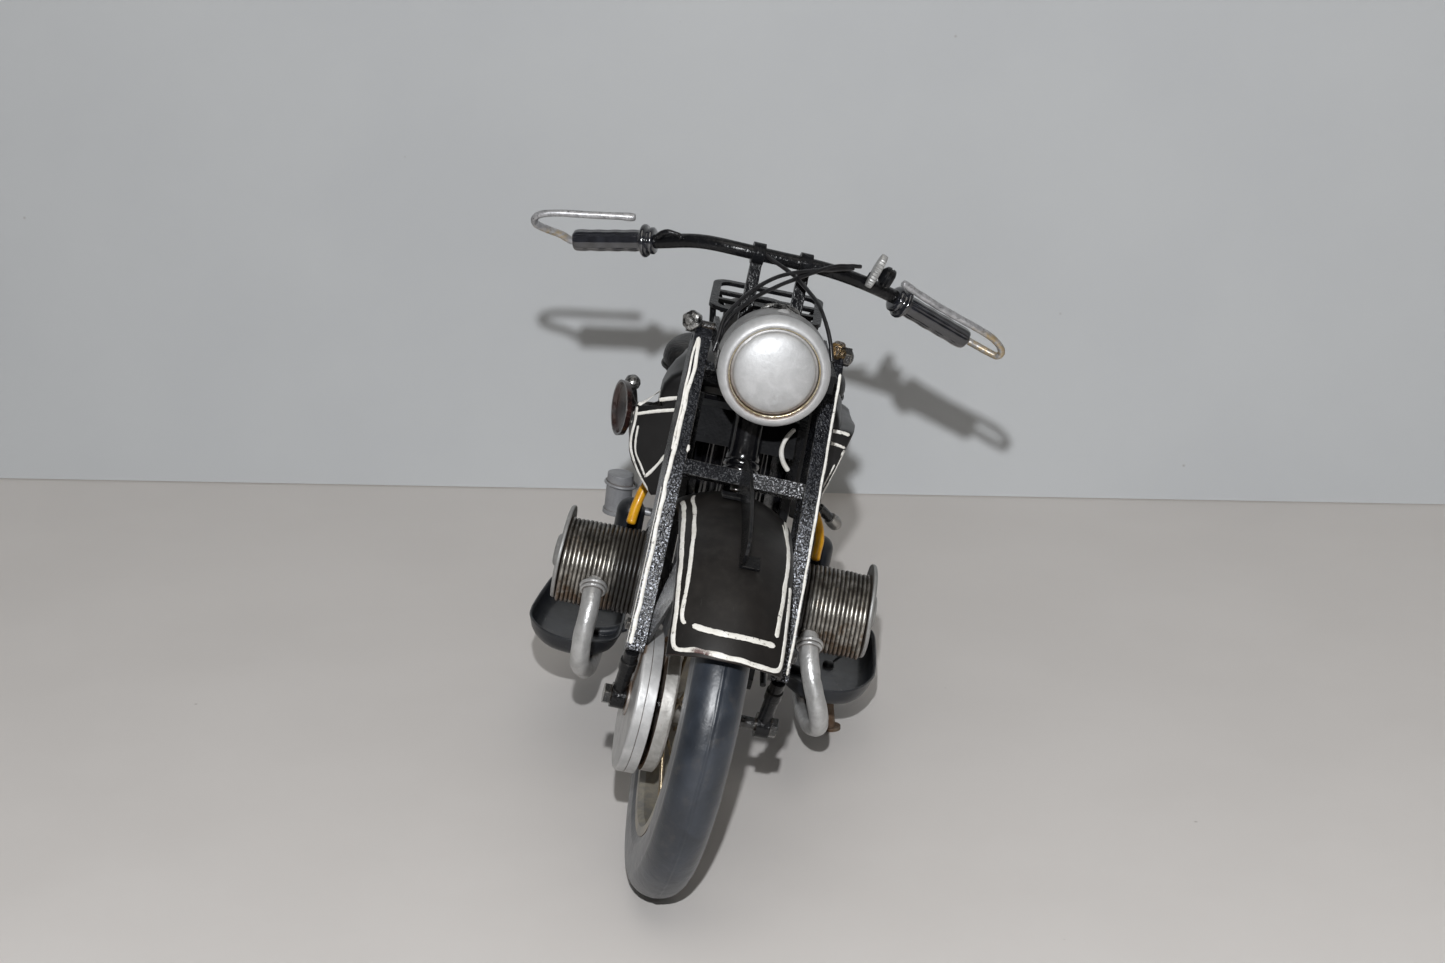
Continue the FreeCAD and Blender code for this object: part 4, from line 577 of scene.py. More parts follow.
# Painted shade: the lamp's silver paint darkened to about half, a shaded copy for the band behind the
# rim.
SHADED_BAND = paint(
    "lamp_band_shaded_silver", base=grey(0.22), vary=grey(0.34), rough=0.42, metal=0.5, mottle=5,
    grain=0.3, grain_depth=0.06, hammer=0.12, hammer_size=1.8, edge=0.0,
    grime_and_shade_col=(0.06, 0.035, 0.02), grime_and_shade=0.8, grime_and_shade_reach=1.8, scratch=0.4,
    scratch_col=(0.12, 0.08, 0.05), pits=0.1)
SHELL = paint(
    "lamp_shell", base=(0.032, 0.032, 0.034), vary=(0.075, 0.075, 0.077), rough=0.36, metal=0.3,
    mottle=6, hammer=0.12, hammer_size=2.5, edge=0.3, wear=0.25, scratch=0.4, dust=0.15)
END_PLATE = paint(
    "end_plate", base=(0.30, 0.30, 0.295), vary=(0.42, 0.42, 0.41), rough=0.44, metal=0.5,
    mottle=6, grain=0.4, wear=0.6, wear_col=(0.6, 0.58, 0.54), grime_and_shade=0.7, scratch=0.5,
    scratch_col=(0.1, 0.07, 0.05))
STEEL = paint(
    "worn_steel", base=(0.26, 0.25, 0.235), vary=(0.46, 0.445, 0.42), rough=0.3, metal=0.85,
    mottle=3, grain=0.35, hammer=0.25, hammer_size=1.2, edge=0.25, wear=0.4,
    wear_col=(0.65, 0.62, 0.56), grime_and_shade=0.8, grime_and_shade_reach=1.4, scratch=0.4,
    scratch_col=(0.1, 0.06, 0.04))
NUTS = paint(
    "nut_black", base=(0.006, 0.006, 0.0066), vary=(0.02, 0.0195, 0.019), rough=0.25,
    mottle=2.2, hammer=0.6, hammer_size=0.9, coat=0.5, wear=0.6, wear_col=(0.5, 0.46, 0.38),
    grime_and_shade=0.3, grime_and_shade_reach=1.2)
# On the lamp nuts the hollows turn near black by ambient occlusion: painted shade in the cracks.
CHROME = paint(
    "lamp_nut_steel", base=grey(0.012), vary=(0.48, 0.475, 0.46), rough=0.24, metal=0.7,
    mottle=1.7, hammer=0.3, hammer_size=0.8, edge=0.25, wear=0.6, wear_col=(0.75, 0.73, 0.68),
    grime_and_shade_col=grey(0.008), grime_and_shade=1.0, grime_and_shade_reach=1.6, scratch=0.5, scratch_col=grey(0.02))
GILT = paint(
    "lamp_nut_brass", base=(0.012, 0.010, 0.008), vary=(0.26, 0.16, 0.06), rough=0.25,
    metal=0.6, mottle=1.3, hammer=0.4, hammer_size=0.8, edge=0.3, wear=0.9,
    wear_col=(0.7, 0.55, 0.3), grime_and_shade_col=grey(0.008), grime_and_shade=0.8, grime_and_shade_reach=1.6)
DRUM = paint(
    "drum_silver", base=(0.36, 0.35, 0.33), vary=(0.55, 0.54, 0.52), rough=0.42, metal=0.4,
    mottle=4, grain=0.35, hammer=0.15, hammer_size=2.4, edge=0.3, wear=0.3,
    wear_col=(0.12, 0.07, 0.04), grime_and_shade_col=(0.10, 0.05, 0.018), grime_and_shade=1.0, grime_and_shade_reach=5.0,
    scratch=0.4, scratch_col=(0.14, 0.08, 0.04), pits=0.12)
RUST = paint(
    "rusty_steel", base=(0.10, 0.055, 0.03), vary=(0.2, 0.16, 0.12), rough=0.6, metal=0.4,
    mottle=3, hammer=0.4, hammer_size=1.0, grain_depth=0.08, edge=0.25, wear=0.3, grime_and_shade=0.5)
WIRE = paint(
    "spoke_wire", base=(0.20, 0.165, 0.12), vary=(0.34, 0.26, 0.15), rough=0.34, metal=0.8,
    mottle=4, hammer=0.2, hammer_size=0.9, edge=0.0, grime_and_shade=0.5, grime_and_shade_reach=1.5)
DIAL = paint(
    "dial_grey", base=(0.30, 0.30, 0.295), vary=(0.46, 0.46, 0.45), rough=0.4, metal=0.4,
    mottle=3, edge=0.2, wear=0.4, wear_col=(0.6, 0.6, 0.58), grime_and_shade_col=(0.03, 0.028, 0.026),
    grime_and_shade=0.9, grime_and_shade_reach=0.9, scratch=0.3, scratch_col=grey(0.05))
RED = paint(
    "tail_red", base=(0.16, 0.012, 0.009), vary=(0.25, 0.03, 0.02), rough=0.25, coat=0.7,
    hammer=0.2, edge=0.3, wear=0.4, wear_col=grey(0.1))
SADDLE = paint(
    "saddle_black", base=(0.0055, 0.0054, 0.006), vary=(0.0125, 0.012, 0.0128), rough=0.36,
    coat=0.06, spec=0.24, mottle=5, grain=0.5, grain_depth=0.12, hammer=0.35, hammer_size=0.8,
    edge=0.0, dust=0.1, scratch=0.2)
HORN = paint(
    "horn_black", base=(0.007, 0.006, 0.006), vary=(0.03, 0.012, 0.010), rough=0.24, coat=0.6,
    hammer=0.35, wear=0.6, mottle=4)
RIM = paint(
    "rim_silver", base=(0.28, 0.27, 0.25), vary=(0.42, 0.38, 0.3), rough=0.4, metal=0.6,
    mottle=4, hammer=0.2, hammer_size=2.2, edge=0.3, wear=0.3, wear_col=(0.1, 0.05, 0.03),
    grime_and_shade_col=(0.075, 0.038, 0.018), grime_and_shade=1.0, grime_and_shade_reach=3.0)
LEVER_BLACK = paint(
    "lever_black", base=(0.006, 0.006, 0.0065), vary=(0.016, 0.016, 0.017), rough=0.26,
    hammer=0.5, hammer_size=1.2, coat=0.4, edge=0.4, wear=0.9, wear_col=(0.6, 0.58, 0.54),
    scratch=0.3)
CANISTER = paint(
    "canister_grey", base=(0.24, 0.245, 0.26), vary=(0.36, 0.365, 0.375), rough=0.42, metal=0.3,
    grime_and_shade=0.6, wear_col=grey(0.5), scratch=0.3, hammer=0.15, hammer_size=3)
BRASS = paint(
    "bead_brass", base=(0.52, 0.44, 0.27), vary=(0.72, 0.68, 0.55), rough=0.26, metal=0.75,
    mottle=3.0, edge=0.0, grime_and_shade=0.9, grime_and_shade_reach=1.0, grime_and_shade_col=(0.13, 0.062, 0.018),
    scratch=0.2, hammer=0.15, hammer_size=1.0)


# ------------------------------------------------------------------ rubber, wire, hose and lining
def lever_wire():
    mat = Material("lever_wire")
    place = mat.local(FORK_INVERSE)
    colour = mat.mottled((0.27, 0.272, 0.28), (0.46, 0.46, 0.47), size=1.6, low=0.3, high=0.7)
    chips = mat.mul(mat.patches(size=0.5, rough=0.75, low=0.56, high=0.62),
                    mat.patches(size=2.6, detail=4, low=0.42, high=0.58))
    colour = mat.mix(mat.mul(chips, 0.9), colour, (0.02, 0.019, 0.018))
    # bare brass near the roots
    x = mat.math("ABSOLUTE", mat.axis(place, 0))
    z = mat.add(mat.axis(place, 2), mat.mul(mat.noise(size=2.2, detail=4), 2.4))
    root = mat.mul(mat.ramp(z, low=136.6, high=134.4),
                   mat.mul(mat.ramp(x, low=50, high=52), 0.75))
    root = mat.mul(root, mat.patches(size=1.2, rough=0.7, low=0.36, high=0.6))
    colour = mat.mix(root, colour, (0.42, 0.30, 0.13))
    normal = mat.bumpy(strength=0.5, depth=0.10, size=0.6, detail=4)
    return mat.finish(Base_Color=colour, Roughness=mat.spread(0.26, 0.22, size=1.0, detail=4),
                      Metallic=0.5, Normal=normal)


def tyre_rubber():
    mat = Material("tyre_rubber")
    colour = mat.mottled((0.0125, 0.0165, 0.0235), (0.026, 0.033, 0.045), size=11, distort=0.5,
                         low=0.35, high=0.68)
    specks = mat.mul(mat.cells(size=0.9, high=0.13, start=1.0, end=0.0),
                     mat.patches(size=2.6, detail=4, low=0.56, high=0.66))
    colour = mat.mix(mat.mul(specks, 0.8), colour, grey(0.25))
    dirt = mat.mul(mat.patches(size=4.5, detail=6, rough=0.7, low=0.52, high=0.75), 0.35)
    colour = mat.mix(dirt, colour, (0.075, 0.066, 0.056))
    rough = mat.spread(0.29, 0.24, size=3.0, detail=6, rough=0.7)
    normal = mat.bumpy(strength=0.35, depth=0.06, size=0.5, detail=4)
    normal = mat.bumpy(strength=0.5, depth=0.35, normal=normal,
                       size=3.6, detail=4, rough=0.5, distort=0.6)
    normal = mat.bump(mat.cells(size=2.2, high=0.2), strength=0.2, depth=0.08, normal=normal)
    return mat.finish(Base_Color=colour, Roughness=rough, Normal=normal, Sheen_Weight=0.05,
                      Coat_Weight=0.25, Coat_Roughness=0.3)


def grip_rubber():
    mat = Material("grip_rubber")
    colour = mat.mottled((0.006, 0.0066, 0.009), (0.016, 0.0175, 0.0235), size=3,
                         low=0.35, high=0.7)
    dirt = mat.mul(mat.ramp(mat.cavity(reach=0.9), low=0.2, high=0.8), 0.3)
    colour = mat.mix(dirt, colour, (0.05, 0.045, 0.04))
    normal = mat.bumpy(strength=0.2, depth=0.03, size=0.35, detail=3)
    return mat.finish(Base_Color=colour, Specular_IOR_Level=1.0,
                      Roughness=mat.spread(0.10, 0.14, size=1.2, rough=0.7), Normal=normal,
                      Coat_Weight=0.9, Coat_Roughness=0.13)


def cable_rubber():
    mat = Material("cable_rubber")
    colour = mat.mottled((0.005, 0.005, 0.006), (0.015, 0.015, 0.017), size=2, detail=4,
                         low=0.4, high=0.7)
    normal = mat.bumpy(strength=0.3, depth=0.03, size=0.3, detail=3)
    return mat.finish(Base_Color=colour, Normal=normal,
                      Roughness=mat.spread(0.25, 0.2, size=0.8, detail=4, rough=0.7))


def yellow_hose():
    mat = Material("yellow_hose")
    colour = mat.mottled((0.62, 0.275, 0.006), (0.80, 0.42, 0.012), size=3.4, low=0.3, high=0.7)
    dirt = mat.mul(mat.patches(size=1.5, detail=6, rough=0.7, low=0.55, high=0.75), 0.55)
    colour = mat.mix(dirt, colour, (0.25, 0.1, 0.015))
    # Painted shade: darker brown in the hose's hollows, placed by ambient occlusion.
    painted_shade = mat.mul(mat.ramp(mat.cavity(reach=1.8), low=0.25, high=0.85), 0.7)
    colour = mat.mix(painted_shade, colour, (0.11, 0.05, 0.012))
    normal = mat.bumpy(strength=0.3, depth=0.05, size=0.5, detail=3)
    return mat.finish(Base_Color=colour, Roughness=mat.spread(0.24, 0.2, size=1.0, detail=4),
                      Normal=normal, Subsurface_Weight=0.12,
                      Subsurface_Radius=(0.0012, 0.0007, 0.0002), Coat_Weight=0.3)


def lining_white(name, worn, browned=False):
    mat = Material(name)
    colour = mat.mottled((0.66, 0.64, 0.585), (0.80, 0.79, 0.755), size=2.4, rough=0.65,
                         low=0.3, high=0.72)
    chips = mat.patches(size=0.85, rough=0.72, low=0.585, high=0.64)
    chips = mat.mul(chips, mat.patches(size=4.0, detail=3, rough=0.5, low=0.42, high=0.62))
    colour = mat.mix(mat.mul(chips, worn), colour, (0.04, 0.032, 0.028))
    if browned:     # a stretch right of centre at the front tip
        place = mat.local(FORK_INVERSE)
        x = mat.axis(place, 0)
        across = mat.mul(mat.ramp(x, low=-9.8, high=-7.8), mat.ramp(x, low=-3.6, high=-5.6))
        below = mat.ramp(mat.axis(place, 2), low=76.5, high=75)
        brown = mat.mul(mat.mul(across, below),
                        mat.patches(size=0.9, rough=0.7, low=0.38, high=0.55))
        colour = mat.mix(brown, colour, (0.075, 0.03, 0.026))
    normal = mat.bumpy(strength=0.5, depth=0.06, size=0.5, detail=4)
    normal = mat.bump(chips, strength=0.5, depth=0.1, normal=normal)
    return mat.finish(Base_Color=colour, Roughness=0.42, Normal=normal, Coat_Weight=0.1)


def fin_steel():
    mat = Material("fin_steel")
    place = mat.local(BIKE_INVERSE)
    out = mat.math("ABSOLUTE", mat.axis(place, 0))
    z = mat.add(mat.axis(place, 2), -CYLINDER_AXIS.z)
    large = mat.noise(size=4.2, detail=6, rough=0.7)
    right = mat.ramp(mat.axis(place, 0), low=0, high=-1)
    colour = mat.mottled((0.22, 0.205, 0.18), (0.52, 0.50, 0.46), size=2.0, low=0.3, high=0.7)
    rust = mat.ramp(mat.add(large, mat.mul(mat.ramp(z, low=2, high=-9), 0.22)),
                    low=0.54, high=0.70)
    colour = mat.mix(mat.mul(rust, 0.8), colour, (0.13, 0.07, 0.032))
    # black at the inner end, reaching further out on the right
    out = mat.add(out, mat.mul(right, -1.6))
    dark = mat.ramp(mat.add(out, mat.mul(mat.noise(size=3.0, detail=3, rough=0.5), 5.0)),
                    low=29, high=25.6)
    colour = mat.mix(mat.mul(dark, 0.95), colour, (0.012, 0.0115, 0.011))
    # Painted shade: the upper fins darkened, where the light falls off above the bright middle band.
    top = mat.mul(mat.ramp(z, low=4, high=9.5),
                  mat.patches(size=3.4, detail=4, low=0.3, high=0.62))
    colour = mat.mix(mat.mul(top, 0.8), colour, (0.045, 0.04, 0.034))
    # Painted shade: near-black in the gaps between the wire turns, placed by ambient occlusion, and
    # less metallic there.
    painted_shade = mat.ramp(mat.cavity(reach=1.1), low=0.12, high=0.6)
    colour = mat.mix(mat.mul(painted_shade, 0.92), colour, (0.016, 0.010, 0.006))
    rough = mat.spread(0.2, 0.25, size=0.9, rough=0.7)
    normal = mat.bumpy(strength=0.5, depth=0.12, size=0.6, detail=4)
    dull = mat.math("MAXIMUM", mat.mul(dark, 0.8), painted_shade)
    return mat.finish(Base_Color=colour, Roughness=rough, Metallic=mat.blend(dull, 0.9, 0.1),
                      Normal=normal)


LEVER, TYRE, GRIP, CABLE = lever_wire(), tyre_rubber(), grip_rubber(), cable_rubber()
HOSE, FIN = yellow_hose(), fin_steel()
LINE = lining_white("lining_white", worn=0.75)
FRONT_LINE = lining_white("lining_white_front", worn=0.85, browned=True)

# ------------------------------------------------------------------ finishes of the CAD nodes
CAD_FINISHES = (
    (CANISTER, "air_canister"),
    (FRAME_BLACK, "bar_clamps frame_crossmembers frame_left frame_right headlamp_brackets"
                  " luggage_rack"),
    (SLATE, "carburettors footboards"),
    (CASTING, "crankcase final_drive gearbox"),
    (ENAMEL, "drive_shaft fork_legs front_fender_stays front_number_plate handlebar"
             " rear_fender_stays"),
    (BLADE, "fork_blades"),
    (NUTS, "fork_fasteners frame_fasteners front_axle"),
    (YOKE, "fork_yokes"),
    (SILVER, "front_brake_drum front_brake_plates rear_hub"),
    (STEEL, "front_hub rear_axle saddle_springs steering_stem tank_cap"),
    (RIM, "front_rim rear_rim"),
    (WIRE, "front_spokes rear_spokes"),
    (LEVER_BLACK, "gear_lever kickstart_lever"),
    (LEVER, "hand_levers"),
    (DEEP_BLACK, "head_tube"),
    (SHELL, "headlamp_shell"),
    (HORN, "horn"),
    (RUST, "side_stand"),
    (EXHAUST, "silencers"),
    (RED, "tail_lamp"),
)
for finish, names in CAD_FINISHES:
    for name in names.split():
        slots = NODES[name].data.materials
        if not slots:
            slots.append(finish)
        for i in range(len(slots)):
            slots[i] = finish

# ------------------------------------------------------------------ tyres
# (offset from the centre plane, radius), from one bead out to the tread
TYRE_HALF = [
    (4.6, 30.3), (5.35, 30.75), (5.85, 31.9), (6.15, 33.2), (6.42, 33.7), (6.36, 34.4),
    (6.46, 35.6), (6.52, 37.2), (6.48, 38.8), (6.3, 40.2), (6.34, 40.75), (6.02, 41.4),
    (5.5, 42.5), (4.7, 43.45), (3.7, 44.2), (2.6, 44.7), (1.6, 44.98), (0.75, 45.08),
    (0.42, 45.12), (0.2, 45.28)]
TYRE_BASE = [(-3.0, 30.32), (0.0, 30.36), (3.0, 30.32)]


def tyre(end, axle, seed):
    def worn(angle, along, radius):
        p = polar(angle, radius, along)
        if radius > 45.1:       # the ridge along the tread
            radius += 0.14 * ripple(p, 0.5, seed) + 0.05 * ripple(p, 1.8, seed) - 0.05
            along += 0.16 * ripple(p, 0.22, seed + 3)
        elif radius > 31:
            radius += 0.10 * ripple(p, 0.10, seed) * min(1, (radius - 31) / 4)
            along += 0.07 * ripple(p, 0.16, seed + 5)
        return along, min(radius, 45.3)
    geo = Geometry()
    profile = TYRE_HALF + [(-along, radius) for along, radius in TYRE_HALF[::-1]] + TYRE_BASE
    geo.lathe(axle, (1, 0, 0), profile, 240, worn, closed=True)
    make(end + "_tyre_moulded", geo, end + "_wheel", TYRE, end + "_tyre")


tyre("front", FRONT_AXLE, 1.0)
tyre("rear", REAR_AXLE, 2.0)


# ------------------------------------------------------------------ mudguards
class Mudguard:
    """Pressed skin around an axle; phi is in degrees from straight ahead, rising over the top."""
    gauge = 0.7
    across = 26

    def __init__(self, axle, crown, edge, half, lip, seed, grow=None):
        self.axle, self.crown, self.edge, self.half = axle, crown, edge, half
        self.lip, self.seed, self.grow = lip, seed, grow

    def half_width(self, phi, side):
        return self.half + (self.grow(phi, side) if self.grow else 0.0)

    def point(self, phi, x):
        u = min(1.0, abs(x) / self.half_width(phi, 1 if x > 0 else -1))
        radius = self.crown - (self.crown - self.edge) * u * u
        if u > 0.93:
            radius -= (u - 0.93) / 0.07 * 0.35
        radius += 0.16 * ripple((phi * 0.9, x, 0), 0.12, self.seed)
        angle = math.radians(phi)
        return self.axle + vec(x, -radius * math.cos(angle), radius * math.sin(angle))

    def at(self, phi, x, offset=0.0):
        """Point and outward normal."""
        p = self.point(phi, x)
        d = 0.25
        normal = (self.point(phi, x + d) - self.point(phi, x - d)).cross(
            self.point(phi + d, x) - self.point(phi - d, x)).normalized()
        if normal.dot(p - self.axle) < 0:
            normal = -normal
        return p + normal * offset, normal

    def build(self, start, end, steps):
        geo = Geometry()
        rows = []
        limit = 1 - self.gauge / self.half
        fractions = [-1 + 2 * j / self.across for j in range(self.across + 1)]
        inward = vec(self.gauge, 0, 0)
        for i in range(steps + 1):
            phi = start + (end - start) * i / steps
            right, left = self.half_width(phi, -1), self.half_width(phi, 1)
            outer = [self.at(phi, u * (right if u < 0 else left))[0] for u in fractions]
            angle = math.radians(phi)
            lip = vec(0, math.cos(angle), -math.sin(angle)) * self.lip
            inner = [self.at(phi, max(-limit, min(limit, u)) * (right if u < 0 else left),
                             -self.gauge)[0] for u in fractions[::-1]]
            first, last = outer[0], outer[-1]
            rows.append([first + lip, first + lip * 0.55] + outer
                        + [last + lip * 0.55, last + lip, last + lip - inward,
                           last + lip * 0.6 - inward]
                        + inner + [first + lip * 0.6 + inward, first + lip + inward])
        geo.grid(rows)
        size = len(rows[0])
        for i in (0, steps):    # close each end between the outer and inner skins
            base = i * size
            for j in range(size // 2 - 1):
                geo.faces.append((base + j, base + j + 1, base + size - 2 - j,
                                  base + size - 1 - j))
        return geo


def front_grow(phi, side):
    return 1.1 + 0.6 * bell(phi, 72, 26) if side < 0 else -0.1


FRONT_GUARD = Mudguard(FRONT_AXLE, crown=53.0, edge=48.6, half=12.7, lip=1.6, seed=4.0,
                       grow=front_grow)
make("front_mudguard_skin", FRONT_GUARD.build(36.7, 138.0, 120), "fork", FENDER,
     "front_fender", sharp=50)

rear_guard = Mudguard(REAR_AXLE, crown=51.2, edge=47.8, half=11.6, lip=1.4, seed=6.0)
geo = rear_guard.build(28.0, 186.0, 170)
SADDLE_TRIM_Z = 82.0    # pressed flat above this height under the saddle nose
for p in geo.verts:
    if 38.0 < p.y < 62.0 and p.z > SADDLE_TRIM_Z:
        p.z = SADDLE_TRIM_Z + (p.z - SADDLE_TRIM_Z) * 0.04
make("rear_mudguard_skin", geo, "frame", FENDER, "rear_fender", sharp=50)

# ------------------------------------------------------------------ hand-painted lining
# (share of the width, share of the height) across one brush line
BRUSH = ((-0.5, -0.25), (-0.47, 0.4), (-0.3, 0.85), (0.0, 1.0), (0.3, 0.85), (0.47, 0.4),
         (0.5, -0.25))
LINE_HEIGHT, LINE_STEP, LINE_LIFT = 0.13, 0.35, 0.015


def brush_line(geo, surface, width, seed, wobble, path):
    """A raised line; surface(u, v) gives (point, normal) or None, path is a list of (u, v)."""
    dense = spline([(u, v, 0) for u, v in path], count=len(path) * 14)
    hits = [hit for hit in (surface(q.x, q.y) for q in dense) if hit]
    lengths = arc_lengths([p for p, _ in hits])
    total = lengths[-1]
    last = max(6, int(total / LINE_STEP))
    centres, normals = [], []
    for k, t in stations(lengths, last):
        centres.append(hits[k][0].lerp(hits[k + 1][0], t))
        normals.append(hits[k][1].lerp(hits[k + 1][1], t).normalized())
    rows = []
    for i, normal in enumerate(normals):
        tangent = (centres[min(i + 1, last)] - centres[max(i - 1, 0)]).normalized()
        side = normal.cross(tangent).normalized()
        along = total * i / last
        wide = width * (1 + 0.26 * noise_at(along * 0.32, seed, 0.3)
                        + 0.16 * noise_at(along * 1.3, seed, 4.1))
        fade = min(along, total - along) / (width * 0.5)
        if fade < 1:
            wide *= math.sqrt(max(0.02, fade * (2 - fade)))
        centre = centres[i] + side * wobble * noise_at(along * 0.22, seed + 9, 1.7)
        high = LINE_HEIGHT * (1 + 0.4 * noise_at(along * 0.9, seed, 7))
        rows.append([centre + side * wide * u + normal * (high * v + LINE_LIFT)
                     for u, v in BRUSH])
    geo.grid(rows, caps=True)


def right_x(phi):
    """Just inside the front mudguard's right edge."""
    return -(FRONT_GUARD.half_width(phi, -1) - 0.62)


# width, seed, wobble, [(phi, x)]
FRONT_GUARD_LINES = (
    (1.15, 1.0, 0.16, [
        (101, right_x(101)), (92, right_x(92) + 0.1), (80, right_x(80)), (68, right_x(68)),
        (56, right_x(56)), (47, right_x(47) + 0.05), (41.5, right_x(41) + 0.1),
        (38.6, right_x(38.6) + 0.9), (38.1, -10.4), (38.3, -8.4), (38, -5.7), (37.9, -2.6),
        (37.7, -0.3), (37.8, 2.5), (37.6, 5.35), (37.5, 8.2), (38, 10.9), (39.9, 11.85),
        (46, 11.95), (54, 11.95), (64, 12)]),
    (0.95, 2.0, 0.12, [
        (104, -10.6), (98.8, -11.2), (88, -11.3), (77, -11.5), (67, -11.7), (59, -11.85),
        (53, -12.05), (48.2, -12.1), (45.9, -11.7), (45.3, -11)]),
    (1.3, 3.0, 0.1, [
        (44.9, -9.6), (43.9, -6.6), (43.5, -3.4), (43.5, 0), (43.6, 3), (43.8, 6),
        (44.2, 9.7)]),
    (1.15, 5.0, 0.16, [
        (46.6, 9.75), (51.2, 9.95), (56.4, 10.2), (63.3, 10.55), (68.7, 10.9), (76, 11.1),
        (84, 10.9), (92, 11.2), (99, 11.5)]),
    (0.5, 6.0, 0.12, [(92, 10.1), (86, 10.4), (80.5, 10.9)]),
)
geo = Geometry()
for line in FRONT_GUARD_LINES:
    brush_line(geo, FRONT_GUARD.at, *line)
make("front_mudguard_lining", geo, "fork", FRONT_LINE, sharp=80)


# ------------------------------------------------------------------ air canister with its bead
def lower_lid(p):
    return vec(p.x, p.y, p.z - 2.7 * clamp((p.z - 56.5) / 10.0)) if p.x < -24 else p


recut("air_canister", "air_canister_lidded", lower_lid, "frame", CANISTER)
geo = Geometry()
geo.tube(ring(vec(-29.2, 1.6, 63.6), vec(1, 0, 0), vec(0, 1, 0), 4.05, 16), 0.42, 8, 0.5,
         closed=True)
make("air_canister_bead", geo, "frame", CANISTER)


# ------------------------------------------------------------------ front brake drum
def shrink_drum(p):
    centre = vec(p.x, FRONT_AXLE.y, FRONT_AXLE.z)
    return centre + (p - centre) * 0.975 + vec(1.15, 0, 0)


recut("front_brake_drum", "front_brake_drum_turned", shrink_drum, "fork", DRUM)

# ------------------------------------------------------------------ black sheet between the frame tubes, painted shade
SHADE_SHEET_HALF, SHADE_SHEET_LOW, SHADE_SHEET_TALL, SHADE_SHEET_THICK = 11.9, 66.0, 38.0, 0.9
# Painted shade: a glossy black sheet with three ribs fills the dark gap behind the steering head.
geo = Geometry()
rows = []
for k in range(25):
    z = SHADE_SHEET_LOW + SHADE_SHEET_TALL * k / 24
    front = []
    for j in range(21):
        x = -SHADE_SHEET_HALF + 2 * SHADE_SHEET_HALF * j / 20
        bow = 0.9 * math.cos(x / SHADE_SHEET_HALF * math.pi / 2)
        front.append(vec(x, -34.6 - bow + 0.25 * ripple((x, z, 0), 0.2, 3), z))
    rows.append(front + [p + vec(0, SHADE_SHEET_THICK, 0) for p in front[::-1]])
geo.grid(rows, caps=True)
for x, radius in ((-8.4, 1.7), (-4.2, 1.1), (6.4, 1.5)):
    geo.tube([(x, -37, 66.5), (x * 0.98, -37.4, 82), (x * 0.94, -37, 101)], radius, 16, 1.5)
make("frame_front_shade_sheet", geo, "frame", GLOSS, sharp=50)


# ------------------------------------------------------------------ fork blades and their lining
def lower_ear(p):
    return p - FORK_UP * max(0.0, (p - FORK_FOOT).dot(FORK_UP) - 71.0) * 0.42


blades = surface_tree(recut("fork_blades", "fork_blades_folded", lower_ear, "fork", BLADE))
BLADE_TAPER = math.tan(math.radians(0.9))
BLADE_OUTER = 17.4 + 2.1    # outer edge at the foot


def blade_front(up, x):
    return cast(blades, "fork", fork_point(up, -16, x), FORK_BACK)


def blade_right_side(up, back):
    return cast(blades, "fork", fork_point(up, back, -30.0), vec(1, 0, 0))


def edge_path(side, inset, offsets):
    """Offsets from the blade's edge, which is taken at the nearest whole millimetre of height."""
    return [(up, side * (BLADE_OUTER - inset - round(up) * BLADE_TAPER) + offset)
            for up, offset in offsets]


# surface, width, seed, wobble, path; the last two columns of an edge path are (up, offset)
BLADE_LINES = (
    (blade_front, 0.55, 11.0, 0.12, edge_path(-1, 0.62, [
        (74.9, 0.35), (71, -0.05), (66, -0.1), (60, -0.2), (54, -0.15), (47, -0.25)])),
    (blade_front, 0.95, 12.0, 0.3, edge_path(-1, 0.62, [
        (75.1, 0.6), (71, 0.95), (68, 1), (64, 0.7), (61, 0.35), (57, 0.65), (53, 0.5),
        (47, 0.35), (41, 0.1), (35, 0.15), (28, 0.1), (21, 0.2), (14, 0.15), (8, 0.1),
        (3, 0.1), (0.2, 0.2)])),
    (blade_right_side, 0.5, 13.0, 0.2, [
        (38, -3.3), (32, -3.5), (26, -3.3), (19, -3.2), (12, -2.8), (6, -2.2), (0.5, -1.5)]),
    (blade_front, 0.62, 14.0, 0.14, edge_path(1, 0.5, [
        (73.8, 0), (70, 0), (62, -0.05), (54, 0), (46, -0.05), (38, 0), (31, 0), (24, -0.05),
        (17, 0), (10, 0), (4, -0.05), (0.5, 0)])),
)
geo = Geometry()
for line in BLADE_LINES:
    brush_line(geo, *line)
make("fork_blade_lining", geo, "fork", LINE, sharp=80)

# ------------------------------------------------------------------ fuel tank, straddling the frame
# y, half width, lowest z, shoulder z, half width of the top, top z, half width at the lower tip
TANK_STATIONS = (
    (-38, 27.4, 75.6, 99.5, 22.6, 111.5, 20.4),
    (-26, 27.8, 75.4, 99.5, 23.2, 113.5, 20.6),
    (-6, 25.6, 75.4, 98.5, 21.6, 112, 19.4),
    (10, 18.5, 79, 97.1, 16, 106.5, 13.6),
    (20.5, 9.4, 84, 94.5, 8.6, 98.5, 6.4),
)
TANK_TUNNEL = ((-60, 119), (-36, 106.2), (-8, 91.2), (30, 80.4))    # (y, z) of its roof
SIDE_POINTS = 27    # 11 on the flank, 4 on the ledge, 12 on the top
TANK_FRONT, TANK_REAR = -37.2, 20.0


